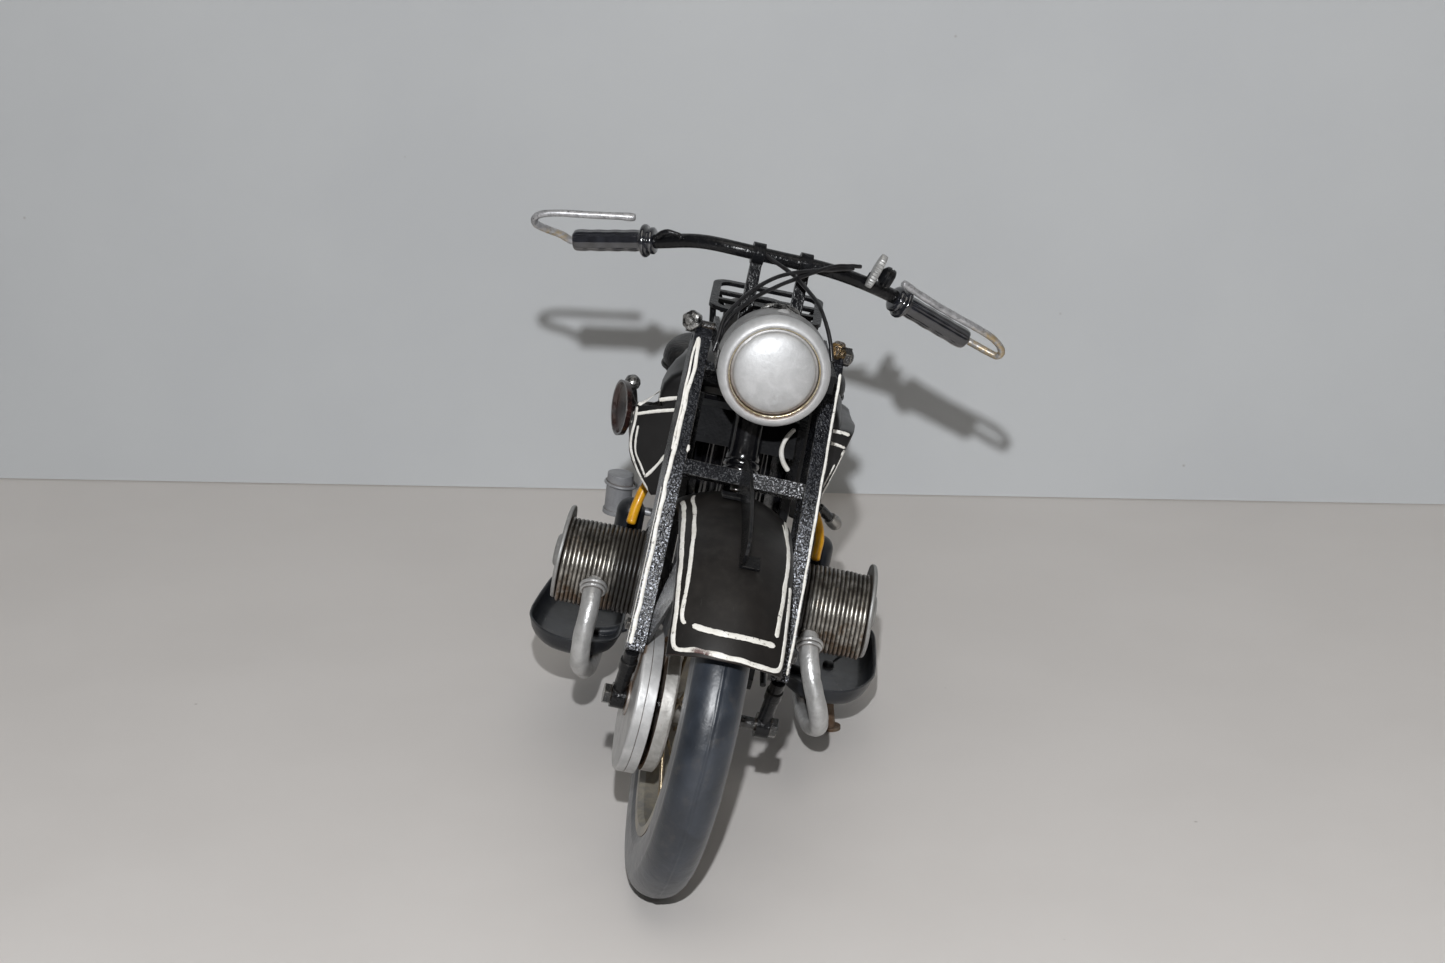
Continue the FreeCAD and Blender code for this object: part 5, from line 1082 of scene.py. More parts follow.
def tank_station(y):
    i = max(k for k, row in enumerate(TANK_STATIONS) if row[0] <= y + 1e-9)
    i = min(i, len(TANK_STATIONS) - 2)
    start, end = TANK_STATIONS[i], TANK_STATIONS[i + 1]
    t = (y - start[0]) / (end[0] - start[0])
    t = t * t * (3 - 2 * t) * 0.5 + t * 0.5
    return [a * (1 - t) + b * t for a, b in zip(start[1:], end[1:])]


def tunnel_roof(y):
    for (y0, z0), (y1, z1) in zip(TANK_TUNNEL, TANK_TUNNEL[1:]):
        if y <= y1:
            return z0 + (z1 - z0) * (y - y0) / (y1 - y0)


def shoulder_drop(y):
    """How far the right shoulder sinks toward the rear."""
    return 11.5 * clamp((y + 37.5) / 34.0)


def tank_section(y, shrink=0.0):
    """Loop of points: left skin, right skin, then back along the tunnel."""
    half, low, shoulder, top_half, top, tip = tank_station(y)
    half, top_half, top = half - shrink, top_half - shrink, top - shrink
    shoulder, low = shoulder - shrink * 0.6, low + shrink
    fore = clamp((10 - y) / 30)
    nose = clamp((-8 - y) / 28)
    rise = top - shoulder

    def skin(side):
        if side > 0:    # left: tapers nearly straight from a high shoulder to the tip
            wide, edge_z = half - 0.8 * nose, shoulder + 2.5 * nose
            tall, reach = edge_z - low, wide - tip
            flank = [(tip + 0.1, low), (tip + reach * (0.62 - 0.34 * fore), low + tall * 0.36),
                     (tip + reach * (0.93 - 0.32 * fore), low + tall * 0.7),
                     (wide - 0.5 * fore, edge_z - 0.4)]
            crown = [(top_half, shoulder + 0.2 + 2.4 * nose),
                     (top_half * 0.93, shoulder + 1.4 * nose + rise * 0.5),
                     (top_half * 0.62, shoulder + rise * 0.86), (0, top)]
        else:           # right: fuller at mid height
            wide = half + 0.5 * nose - 1.2 * (1 - nose) * fore
            edge_z = shoulder + 0.2 - shoulder_drop(y)
            tall, reach = edge_z - low, wide - tip
            flank = [(tip, low), (tip + reach * (0.55 - 0.08 * fore), low + tall * 0.18),
                     (tip + reach * (0.84 + 0.06 * fore), low + tall * 0.38),
                     (wide + 0.3 * fore, low + tall * 0.58),
                     (wide + 0.1 * fore, edge_z - 0.4)]
            base_x, base_z = min(top_half, wide - 1.0), edge_z + 0.6
            crown = [(base_x, base_z), (base_x * 0.99, base_z + (top - base_z) * 0.45),
                     (base_x * 0.82, base_z + (top - base_z) * 0.80),
                     (base_x * 0.45, base_z + (top - base_z) * 0.965), (0, top)]
        (x0, z0), (x1, z1) = flank[-1], crown[0]
        ledge = [vec(side * (x0 * (1 - k) + x1 * k), y,
                     z0 * (1 - k) + z1 * k + 0.3 * math.sin(k * math.pi))
                 for k in (0.12, 0.3, 0.55, 0.8)]
        return (spline([(side * x, y, z) for x, z in flank], count=10) + ledge
                + spline([(side * x, y, z) for x, z in crown], count=11))

    wall = min(14.6, tip - 1.3)
    roof = max(low + 3.0, min(tunnel_roof(y), top - 3.5))
    tunnel = []
    for k in range(SIDE_POINTS):
        if k <= 12:
            tunnel.append((wall, low + 1.4 * (1 - k / 12) + (roof - 1.2 - low) * (k / 12)))
        elif k <= 16:
            turn = (k - 12) / 4 * math.pi / 2
            tunnel.append((wall - 1.2 * (1 - math.cos(turn)), roof - 1.2 + 1.2 * math.sin(turn)))
        else:
            tunnel.append(((wall - 1.2) * (1 - (k - 16) / (SIDE_POINTS - 17)), roof))
    return (skin(1) + skin(-1)[::-1][1:] + [vec(-x, y, z) for x, z in tunnel]
            + [vec(x, y, z) for x, z in tunnel[::-1][1:]])


def tank_geometry():
    # (y, shrink) at the rounded ends
    places = [(-38.0, 0.9), (-37.7, 0.42), (TANK_FRONT, 0.12)]
    places += [(TANK_FRONT + (TANK_REAR - TANK_FRONT) * i / 40, 0.0) for i in range(1, 40)]
    places += [(TANK_REAR, 0.1), (20.3, 0.4), (20.5, 0.8)]
    rows = [[p + vec(ripple(p, 0.07, 3), ripple(p, 0.08, 5), ripple(p, 0.07, 8)) * 0.35
             for p in tank_section(*place)] for place in places]
    geo = Geometry()
    geo.grid(rows)
    n = SIDE_POINTS
    left, left_tunnel = list(range(n)), [4 * n - 3 - j for j in range(n - 1)] + [3 * n - 2]
    right, right_tunnel = [2 * n - 2 - j for j in range(n)], [2 * n - 1 + j for j in range(n)]
    for i in (0, len(rows) - 1):
        base = i * len(rows[0])
        for skin, tunnel in ((left, left_tunnel), (right, right_tunnel)):
            for j in range(n - 1):
                geo.faces.append((base + skin[j], base + skin[j + 1],
                                  base + tunnel[j + 1], base + tunnel[j]))
    return geo


tank = surface_tree(make("fuel_tank_shell", tank_geometry(), "frame", TANK,
                         "fuel_tank", sharp=40))


def tank_front(x, z):
    return cast(tank, "frame", vec(x, -60, z), vec(0, 1, 0))


# width, seed, wobble, [(x, z)] on the front: right lobe, then left
TANK_FRONT_LINES = (
    (0.95, 21.0, 0.1, [(-27.7, 98.8), (-25.4, 100), (-22.2, 101.3), (-19, 102.3),
                       (-16.8, 102.8)]),
    (0.85, 22.0, 0.1, [(-27.8, 96.3), (-25, 97.3), (-22, 98.3), (-18.9, 99.2), (-17, 99.6)]),
    (0.7, 23.0, 0.18, [(-27.7, 98.2), (-27.7, 94), (-27.8, 90), (-27.2, 86.6), (-25.5, 83),
                       (-23.5, 80), (-21.9, 77.9), (-21.2, 76.8)]),
    (0.5, 24.0, 0.2, [(-26.6, 93.5), (-26.6, 89.5), (-25.8, 86.2), (-24, 83), (-22.6, 80.8)]),
    (0.8, 25.0, 0.12, [(-22.7, 80.4), (-21.4, 82.2), (-19.7, 85), (-18.6, 87.4)]),
    (0.9, 26.0, 0.1, [(17.6, 101.8), (20, 101.9), (23, 101.9), (25.4, 101.5)]),
    (0.8, 27.0, 0.1, [(17.8, 99), (20.1, 98.8), (22.6, 98.5), (24.9, 98.1)]),
    (0.7, 28.0, 0.18, [(24.8, 97.6), (24.4, 94.8), (23.3, 90.6), (22, 86), (21.2, 82),
                       (20.6, 78.6), (20.5, 77.2)]),
    (0.4, 29.0, 0.2, [(23.2, 93.4), (22.2, 89.6), (21, 85)]),
)
# width, seed step, wobble, [(y, z, share of the right shoulder's drop)] on each side
TANK_SIDE_LINES = (
    (0.8, 0, 0.25, [(-36.2, 96.4, 1), (-28, 96.7, 1), (-16, 96.4, 1), (-4, 95.7, 1),
                    (4, 94.9, 1), (9, 94.2, 1)]),
    (0.6, 1, 0.25, [(-36, 93.9, 1), (-28, 94, 1), (-16, 93.7, 1), (-5, 93.2, 1),
                    (2, 92.6, 1)]),
    (0.8, 2, 0.3, [(9.6, 93, 1), (9.8, 90.6, 0.6), (7, 86.4, 0.3), (0, 82.2, 0),
                   (-8, 79.8, 0), (-18, 78.7, 0), (-28, 78.6, 0), (-35.4, 79, 0)]),
)
geo = Geometry()
for line in TANK_FRONT_LINES:
    brush_line(geo, tank_front, *line)
for side, first_seed in ((-1, 31.0), (1, 41.0)):
    def tank_side(y, z, side=side):
        return cast(tank, "frame", vec(side * 50, y, z), vec(-side, 0, 0))
    for width, seed_step, wobble, path in TANK_SIDE_LINES:
        brush_line(geo, tank_side, width, first_seed + seed_step, wobble,
                   [(y, z - (share * shoulder_drop(y) if side < 0 else 0.0))
                    for y, z, share in path])
make("fuel_tank_lining", geo, "frame", LINE, sharp=80)

# ------------------------------------------------------------------ headlamp
LAMP_TILT = math.radians(3.0)
LAMP_AXIS = vec(0, -math.cos(LAMP_TILT), math.sin(LAMP_TILT))


def spun(seed, amount=1.0):
    """Slight unevenness for a turned shape."""
    def shape(angle, along, radius):
        p = polar(angle, radius, along)
        swell = 0.07 * amount * ripple(p, 0.12, seed + 2) if radius > 0.4 else 0
        return along + 0.05 * amount * ripple(p, 0.12, seed), radius + swell
    return shape


# lathe profiles are (along the axis, radius)
LAMP_RIM = [
    (-2.6, 12.25), (-2.6, 12.7), (-2.3, 13), (-1.5, 13.12), (-0.6, 13.15), (0.1, 13.05),
    (0.7, 12.82), (1.15, 12.45), (1.5, 12), (1.72, 11.5), (1.74, 11.15), (1.6, 10.9),
    (1.25, 10.72), (0.75, 10.62), (0.2, 10.58), (-0.9, 10.58), (-0.9, 12.25)]
LAMP_BAND = [
    (-2.2, 12.6), (-2.75, 12.72), (-3, 12.95), (-3.4, 13.12), (-5, 13.15), (-7.6, 13.08),
    (-9.4, 12.8), (-11, 12.35), (-12.4, 11.8), (-13.4, 11.1), (-13.6, 10.4), (-11.5, 11.4),
    (-8, 12.2), (-2.2, 12.3)]
geo = Geometry()
geo.lathe(LAMP_CENTRE, LAMP_AXIS, LAMP_RIM, 160, spun(3.0), closed=True)
make("headlamp_rim_spun", geo, "fork", LAMP, "headlamp_rim", sharp=55)
# The band behind the rim gets the shaded copy of the lamp silver: painted shade.
geo = Geometry()
geo.lathe(LAMP_CENTRE, LAMP_AXIS, LAMP_BAND, 160, spun(4.0, 1.4), closed=True)
make("headlamp_band", geo, "fork", SHADED_BAND, sharp=50)


def uneven_bead(angle, along, radius):
    return along + 0.05 * ring_noise(angle, 9, 1), radius + 0.04 * ring_noise(angle, 7, 5)


geo = Geometry()
bead = [(0.62 + 0.34 * math.cos(t), 10.62 + 0.27 * math.sin(t)) for t in angles(12)]
geo.lathe(LAMP_CENTRE, LAMP_AXIS, bead, 200, uneven_bead, closed=True)
make("headlamp_groove_bead", geo, "fork", BRASS, sharp=80)

# x, z, radius and height of the marks on the dome; a negative height is a pit
DOME_MARKS = (
    (-3.6, 4.7, 0.22, -0.10), (0.8, -4.6, 0.5, 0.14), (2, -5, 0.4, 0.13),
    (2.9, -4.3, 0.35, 0.1), (1.2, -5.9, 0.3, -0.12), (2.2, -6.3, 0.45, 0.12),
    (3.1, -5.6, 0.3, -0.1), (-0.4, -4.3, 0.3, 0.09), (1.7, -7, 0.5, 0.1),
    (0.3, -3.6, 0.25, 0.07), (5.4, -2.1, 0.3, 0.06), (-5.2, -1.4, 0.3, 0.05))
DOME_RADIUS = 9.6
dome = [(-0.75, 10.3), (0.05, 10.3), (0.28, 10.2), (0.36, 10.0), (0.5, DOME_RADIUS)]
for k in range(1, 22):
    turn = k / 21 * 0.995 * math.pi / 2
    dome.append((0.5 + 2.55 * math.sin(turn) ** 1.15, max(DOME_RADIUS * math.cos(turn), 0.06)))
_, lamp_side, lamp_cross = axis_frame(LAMP_AXIS)


def marked_dome(angle, along, radius):
    p = polar(angle, radius, 0)
    place = lamp_side * p.x + lamp_cross * p.y
    along += 0.06 * ripple(p, 0.22, 9) * min(1, (10.3 - radius) / 2 + 0.1)
    for x, z, size, height in DOME_MARKS:
        away = ((place.x - x) ** 2 + (place.z - z) ** 2) / (size * size)
        if away < 6:
            along += height * math.exp(-away)
    return along, radius


geo = Geometry()
geo.lathe(LAMP_CENTRE, LAMP_AXIS, dome, 200, marked_dome)
make("headlamp_front_dome", geo, "fork", LAMP, "headlamp_lens")
geo = Geometry()
geo.lathe((-1.5, -80.2, 140.6), (-0.24, -0.30, 1),
          [(-0.9, 1.7), (0.2, 1.75), (0.7, 1.55), (1.05, 1), (1.2, 0.2)], 20, spun(5, 1.5))
make("headlamp_top_screw", geo, "fork", SILVER)
geo = Geometry()
geo.tube([(-5.6, -75, 139.4), (-4.6, -75.2, 140.6), (-3.2, -75.4, 141.3), (-1.2, -75.6, 141.5),
          (0.8, -75.4, 141.2), (2.2, -75, 140.6), (2.8, -74.6, 139.2)],
         0.62, 12, 0.4, wobble=0.5, seed=7.0)
geo.tube([(-3, -75.8, 141.2), (-0.8, -77.6, 141.2), (1.6, -77.8, 140.6)],
         0.55, 10, 0.4, wobble=0.5, seed=9.0)
make("headlamp_top_bracket", geo, "fork", CHROME)

# ------------------------------------------------------------------ steering head sleeve
HEAD_SLEEVE = [
    (46.4, 2.7), (46.4, 4.2), (46.9, 4.55), (47.7, 4.55), (48.1, 4.1), (48.6, 4.45),
    (49.4, 4.45), (49.9, 4), (50.6, 4.2), (51.2, 4.05), (53, 3.95), (57, 3.9), (61.5, 3.95),
    (64, 3.9), (66, 3.95), (66.4, 3.6), (66.4, 2.7)]
geo = Geometry()
geo.lathe(STEER_AXIS, FORK_UP, HEAD_SLEEVE, 48, spun(6.0, 1.2), closed=True)
make("head_tube_sleeve", geo, "frame", GLOSS, sharp=50)

# ------------------------------------------------------------------ lamp nuts
NUT_THICK = 2.6
# (share of the thickness, share of the radius); the wide rings are hexagonal
NUT_PROFILE = (
    (-0.5, 0.3), (-0.5, 0.94), (-0.36, 1.0), (0.22, 1.0), (0.42, 0.9), (0.5, 0.74),
    (0.5, 0.52), (0.72, 0.46), (0.84, 0.3), (0.86, 0.1))


def lamp_nut(name, centre, direction, across, seed, finish):
    axis, side, cross = axis_frame(direction)
    rows = []
    for share, scale in NUT_PROFILE:
        row = []
        for t in angles(36):
            radius = across / 2
            if scale > 0.7:
                radius /= math.cos(math.remainder(t + seed, math.pi / 3))
            out = (side * math.cos(t) + cross * math.sin(t)) * radius * scale
            p = centre + axis * NUT_THICK * share + out
            row.append(p + (p - centre) * 0.03 * ripple(p, 0.4, seed))
        rows.append(row)
    geo = Geometry()
    geo.grid(rows, caps=True)
    make(name, geo, "fork", finish, sharp=28)


lamp_nut("lamp_nut_right", fork_point(79.0, -1.6, -19.3), (-0.40, -0.88, 0.16), 4.5, 1.3, CHROME)
lamp_nut("lamp_nut_left", fork_point(79.3, -0.6, 16.6), (0.88, -0.42, 0.0), 5.0, 2.1, GILT)

# ------------------------------------------------------------------ wound-wire cylinders
TURNS, WIRE_START, WIRE_END = 20, 16.9, 39.3
CORE = [(16.6, 0.3), (16.6, 9.95), (39.36, 9.95), (39.36, 0.3)]
for side, tag in ((1, "left"), (-1, "right")):
    rows = []
    steps = TURNS * 72
    for i in range(steps + 1):
        turn = i / steps * TURNS
        angle = 2 * math.pi * turn
        x = (WIRE_START + (WIRE_END - WIRE_START) * i / steps
             + 0.10 * noise_at(turn * 0.9, side, 2.0) + 0.05 * ring_noise(angle, 2, turn * 0.31))
        radius = (10.48 + 0.16 * noise_at(turn * 0.37, side * 3, 8.0)
                  + 0.12 * ring_noise(angle, 1.1, turn * 0.2 + 4))
        out = vec(0, math.cos(angle), math.sin(angle))
        centre = vec(side * x, *CYLINDER_AXIS.yz) + out * radius
        rows.append(ring(centre, out, vec(1, 0, 0), 0.56, 8))
    geo = Geometry()
    geo.grid(rows, caps=True)
    geo.lathe(CYLINDER_AXIS, (side, 0, 0), round_profile(CORE, 0.4), 72)
    make("cylinder_%s_wound" % tag, geo, "frame", FIN, "cylinder_" + tag, sharp=70)

END_PROFILE = [
    (39.42, 0.2), (39.42, 8), (39.45, 11.2), (39.25, 12.1), (39.85, 12.22), (40.35, 11.9),
    (40.45, 10.8), (40.3, 8), (40.45, 5), (40.5, 4.5), (41.5, 4.15), (41.9, 3.5),
    (41.75, 1.9), (41.45, 1.5), (41.4, 0.2)]
geo = Geometry()
for side in (1, -1):
    def warped(angle, along, radius, side=side):
        p = polar(angle, radius, side * 3)
        rim = min(1, radius / 11)
        return (along + 0.35 * rim * rim * ripple(p, 0.09, 2 + side),
                radius * (1 + 0.018 * rim * ring_noise(angle, 1.6, side * 2.2)))
    geo.lathe(CYLINDER_AXIS, (side, 0.05, 0.03), round_profile(END_PROFILE, 0.22), 96, warped)
make("cylinder_end_plates", geo, "frame", END_PLATE, "cylinder_heads", sharp=45)

# ------------------------------------------------------------------ exhaust pipes and port rings
# side, port centre, port axis, path of the pipe
EXHAUSTS = (
    (1, (26.4, -40.8, 45.4), (0.1, -0.76, -0.64), [
        (26, -37, 47.4), (26.2, -39.4, 46.4), (26.6, -42.2, 44.2), (27.8, -44.8, 40.6),
        (29.6, -46.2, 36), (31.4, -46.4, 31.6), (32.7, -44.8, 27), (32.4, -39, 23.2),
        (30.6, -29.6, 20.4), (28.8, -14, 19.2), (27.5, 15.9, 20)]),
    (-1, (-30.1, -41.0, 49.4), (0.06, -0.80, -0.60), [
        (-30, -37.4, 50.2), (-30.1, -39.8, 49.7), (-30.1, -42.6, 48.2), (-30, -45, 44.8),
        (-30.2, -46.6, 39.8), (-30.2, -46.6, 34.4), (-29.8, -44.4, 30.3), (-29.2, -38.8, 26.9),
        (-28.6, -30, 22.9), (-28.2, -19, 19.8), (-27.8, -6, 19), (-27.4, 15.9, 20)]),
)
DENTS = ((9.5, 4.2), (13.2, 5.0), (17.6, 4.4))      # (along, angle)
PORT_RINGS = ((-0.75, 3.0, 0.6), (0.35, 2.85, 0.48))    # along, ring radius, wire radius
geo = Geometry()
for side, port, direction, path in EXHAUSTS:
    def dented(_, angle, along, side=side):
        scale = 1 + 0.055 * ring_noise(angle, 0.9, along * 0.16 + side * 5)
        scale += 0.035 * ring_noise(angle, 1.8, along * 0.5 + side * 11)
        for dent, turn in DENTS:
            away = (((along - dent) / 0.9) ** 2
                    + (math.remainder(angle - turn, 2 * math.pi) / 0.42) ** 2)
            if away < 6:
                scale -= 0.06 * math.exp(-away)
        return scale
    geo.tube(path, 2.45, 28, 0.45, dented)
    axis, across, cross = axis_frame(direction)
    for offset, radius, wire in PORT_RINGS:
        geo.tube(ring(vec(*port) + axis * offset, across, cross, radius, 14), wire, 10, 0.45,
                 closed=True, wobble=0.1, seed=side)
make("exhaust_pipes_bent", geo, "frame", EXHAUST, "exhaust_pipes")

# ------------------------------------------------------------------ fuel hoses
HOSE_PATHS = (
    [(-20.6, -20, 73.8), (-22.2, -20.2, 72), (-23.6, -22, 67.4), (-24.2, -24.6, 63.1)],
    [(20.4, -18.8, 74), (22.2, -19.4, 72.4), (24, -21, 67.8), (24, -24.6, 63.1)])
geo = Geometry()
for path in HOSE_PATHS:
    geo.tube(path, 1.27, 20, 0.35, wobble=0.08,
             shape=lambda _, angle, along: 1 + 0.05 * ring_noise(angle, 1, along * 0.3))
make("fuel_hoses_sleeved", geo, "frame", HOSE, "fuel_hoses")

# ------------------------------------------------------------------ control cables
CABLE_PATHS = (
    [(-13.6, -73.4, 127.4), (-13.2, -72, 130.6), (-13, -71, 132.3), (-10.8, -68, 135.4),
     (-6.3, -62, 138.4), (-1.6, -57, 140.5), (2.6, -53, 142.1), (11, -47, 145.4),
     (15.6, -44.6, 146.2), (19, -43.5, 146.5)],
    [(-14.4, -75, 127), (-13.9, -73.6, 130), (-13.3, -70.4, 133.8), (-10.9, -66.4, 136.9),
     (-6.6, -60.4, 140.1), (-0.9, -55, 142.9), (5.9, -50, 144.2), (12, -46.6, 145),
     (17.2, -44.4, 145.9)],
    [(-6.6, -42.2, 145), (-3.6, -44.2, 143.9), (2.3, -50, 142.6), (6, -58, 141.6),
     (8.6, -64, 140.2), (10.6, -69, 137.6), (12.2, -72, 134.4), (13.4, -74, 130.6)])
geo = Geometry()
for k, path in enumerate(CABLE_PATHS):
    geo.tube(path, 0.5, 12, 0.35, wobble=0.05, seed=k,
             shape=lambda _, angle, along: 1 + 0.05 * noise_at(angle, along * 0.6, 1))
make("control_cables_sleeved", geo, "fork", CABLE, "control_cables")

# ------------------------------------------------------------------ handlebar grips
GRIP_ENDS = (((51.7, -27.2, 130.0), (30.4, -34.0, 138.2)),      # outer end, inner end
             ((-48.8, -27.2, 132.7), (-30.0, -33.9, 138.9)))
GRIP_TIP = [(-0.12, 0.3), (-0.1, 1.4), (0, 2.3), (0.12, 2.5), (0.4, 2.62), (0.9, 2.66)]
# (distance back from the inner end, radius) of the collar
GRIP_COLLAR = [
    (3.7, 2.75), (3.4, 3.3), (3.2, 3.95), (2.9, 4.08), (2.4, 4.05), (2.1, 3.8), (1.95, 3.1),
    (1.6, 2.95), (1.4, 3.2), (1.1, 3.35), (0.5, 3.3), (0.2, 3), (0, 2.4), (0, 1.6)]
geo = Geometry()
for k, (outer, inner) in enumerate(GRIP_ENDS):
    direction = vec(*inner) - vec(*outer)
    length = direction.length
    profile = GRIP_TIP + [(0.9 + (length - 4.0 - 0.9) * i / 26, 2.64 + 0.05 * math.sin(i * 0.9))
                          for i in range(1, 27)]
    profile += [(length - back, radius) for back, radius in GRIP_COLLAR]

    def fluted(angle, along, radius, k=k, length=length):
        depth = clamp((along - 0.5) / 0.6) * clamp((length - 3.9 - along) / 0.4)
        radius *= 1 + depth * 0.05 * (abs(math.cos(angle * 6.0)) - 0.5)
        radius *= 1 + 0.018 * ring_noise(angle, 1.2, along * 0.2 + k * 4)
        if along < 0.5:
            along += 0.16 * ripple(polar(angle, 3, k * 5), 0.5, 0)
        return along, radius
    geo.lathe(outer, direction, profile, 108, fluted)
make("grips_ribbed", geo, "fork", GRIP, "grips")

# ------------------------------------------------------------------ gear knob and kick pedal tip
geo = Geometry()
geo.lathe((-30.9, -7.1, 94.3), (-0.12, -0.54, 0.82),
          [(-0.7, 1.90), (-0.5, 2.06), (0.5, 2.06), (1.2, 1.8), (1.75, 1.2), (2.05, 0.35)], 36,
          lambda angle, along, radius: (along, radius * (1 + 0.03 * math.cos(angle * 6))))
make("gear_knob_cap", geo, "gear_lever", CHROME, sharp=50)
geo = Geometry()
geo.lathe((29.2, 19.9, 57.8), (5.2, 3.2, -4.7),
          [(-2.6, 1.37), (-2.4, 1.78), (-0.8, 1.95), (0.4, 1.92), (1.2, 1.55), (1.75, 0.9),
           (1.92, 0.25)], 36,
          lambda angle, along, radius: (along, radius * (1 + 0.04 * ring_noise(angle, 1, along))))
make("kick_pedal_tip", geo, "kickstart", STEEL, sharp=50)

# ------------------------------------------------------------------ hand levers
LEVER_PATHS = (
    [(-47.6, -27.6, 132.6), (-49.6, -27, 132.4), (-52.4, -27.6, 133.4), (-55.4, -28.5, 134),
     (-58.9, -30, 135.2), (-59.9, -31.5, 136.8), (-58.7, -32.5, 138.6), (-54.3, -33, 140.1),
     (-45.9, -33.5, 141.7), (-36.6, -34, 143.5)],
    [(50.6, -27.6, 130.6), (52.9, -26.9, 129.7), (55.5, -28, 129.1), (58.6, -29.2, 128.5),
     (60.4, -30, 128.4), (61, -30.8, 129.9), (59.2, -31.4, 132.1), (55.5, -32, 134),
     (50.5, -32.7, 135.7), (43.9, -33.5, 137.8), (36.7, -34.6, 140.5), (31.7, -35.6, 142.7)])
geo = Geometry()
for k, path in enumerate(LEVER_PATHS):
    def bent_wire(t, angle, along, k=k):
        knob = 0.12 * math.sin((t - 0.93) / 0.07 * math.pi) if t > 0.93 else 0
        return 1 + 0.10 * ring_noise(angle, 1, along * 0.22 + k * 9) + knob
    geo.tube(path, 0.92, 16, 0.4, bent_wire, wobble=0.12, seed=k)
make("hand_levers_wire", geo, "fork", LEVER, "hand_levers")

# ------------------------------------------------------------------ reeded dial and bar fittings
DIAL_CENTRE, DIAL_AXIS = (23.4, -41.0, 145.6), (0.945, -0.16, -0.26)
DIAL_PROFILE = [(-1, 0.2), (-1, 3.2), (-0.9, 4), (-0.75, 4.4), (-0.3, 4.5), (0.3, 4.5),
                (0.75, 4.4), (0.9, 4), (1, 3.2), (1, 0.2)]


def reeded(angle, along, radius):
    cut = 0.075 * (0.5 + 0.5 * math.cos(angle * 30)) if radius > 4.2 else 0
    return along, radius * (1 - cut)


geo = Geometry()
geo.lathe(DIAL_CENTRE, DIAL_AXIS, DIAL_PROFILE, 180, reeded)
make("bar_dial_reeded", geo, "fork", DIAL, "bar_dial", sharp=50)
geo = Geometry()
geo.lathe(DIAL_CENTRE, DIAL_AXIS,
          [(0.7, 0.2), (0.7, 1.3), (1.2, 1.45), (1.6, 2), (2, 2.5), (2.9, 2.7), (3.3, 2.3),
           (3.6, 2.6), (4.3, 2.4), (4.7, 1.6), (4.8, 0.3)], 30, spun(7, 2.0))
geo.tube([(22.9, -40.8, 144.3), (22.6, -40.2, 142.6), (22.4, -39.6, 141.6)], 1.2, 14, 0.4)
geo.tube([(-29.9, -36.4, 140.6), (-29, -37.2, 142.2), (-27.6, -37.8, 142.8),
          (-25.4, -38.4, 142.8), (-24.6, -38.6, 142.2)], 0.7, 10, 0.4, wobble=0.3)
geo.tube([(-6.4, -42, 143.9), (-6.4, -42.8, 145), (-6.2, -43, 145.2)], 0.5, 10, 0.4)
make("bar_fittings_black", geo, "fork", ENAMEL, sharp=50)

# ------------------------------------------------------------------ footboards: trays with a rolled rim
BOARD_PLAN = [      # (distance out, y)
    (21.7, -13), (23.4, -18.4), (27.6, -22.4), (33, -23.8), (38.4, -22.8), (42.8, -19.4),
    (45.6, -14), (46.5, -7), (46.5, 6), (46, 17), (44.4, 21.6), (41, 22.9), (30, 22.9),
    (22.6, 22.6), (21.6, 18), (21.5, 2)]
# (height from the rim, inset) down the outside, then down the inside
BOARD_OUTER = [(0.15, 0.45), (0.35, 0.15), (0.3, -0.12), (0, -0.2), (-0.35, 0), (-1.2, 0.25),
               (-2.6, 0.75), (-3.9, 1.6), (-4.8, 2.9), (-5.3, 4.6), (-5.4, 7), (-5.4, 9)]
BOARD_INNER = [(-0.2, 0.75), (-1, 1), (-2.2, 1.5), (-3.2, 2.5), (-3.8, 4), (-3.95, 6.5),
               (-3.95, 9)]
BOARD_MIDDLE, BOARD_RIM_Z = 34.0, 27.4


def board(geo, side):
    plan = BOARD_PLAN
    if side < 0:    # the right board narrows toward the rear
        plan = [(x - (0.10 * max(0.0, y + 12) if x > 38 else 0), y) for x, y in plan]
    loop = spline([(x, y, 0) for x, y in plan], count=132, closed=True)[:-1]

    def board_ring(height, inset):
        row = []
        for p in loop:
            out = vec(((p.x - BOARD_MIDDLE) / 12.5) ** 3, (p.y / 23.4) ** 3, 0).normalized()
            q = p - out * inset
            lift = (1.5 if side > 0 else 0.3) * clamp((q.x - 36.0) / 9.0) ** 2
            z = (BOARD_RIM_Z + height + lift * (1 + height / 7.0)
                 + 0.16 * ripple((q.x, q.y, height), 0.12, 3 + side))
            if height < -5.0:
                z = max(z, 21.6)
            row.append(vec(side * q.x, q.y, z))
        return row
    geo.grid([board_ring(*place) for place in BOARD_OUTER[::-1] + BOARD_INNER], caps=True)


geo = Geometry()
for side in (1, -1):
    board(geo, side)
    for y, radius in ((-6, 1.3), (14, 1.1)):    # arms from the frame
        geo.tube([(side * 14.3, y, 30.2), (side * 18.5, y, 28.2), (side * 24, y, 25),
                  (side * 29.5, y, 23.6)], radius, 14, 0.5)
# a post and a barrel below the left board
geo.tube([(34.6, 3, 24.2), (34.9, 3, 21.4), (35, 3, 19.4)], 1.5, 14, 0.4)
geo.lathe((35.0, 1.2, 19.7), (0, 1, 0),
          [(-0.5, 0.3), (-0.5, 2.1), (0.2, 2.3), (3.4, 2.3), (4.1, 2.1), (4.1, 0.3)], 28)
make("footboard_trays", geo, "frame", SLATE, "footboards", sharp=45)

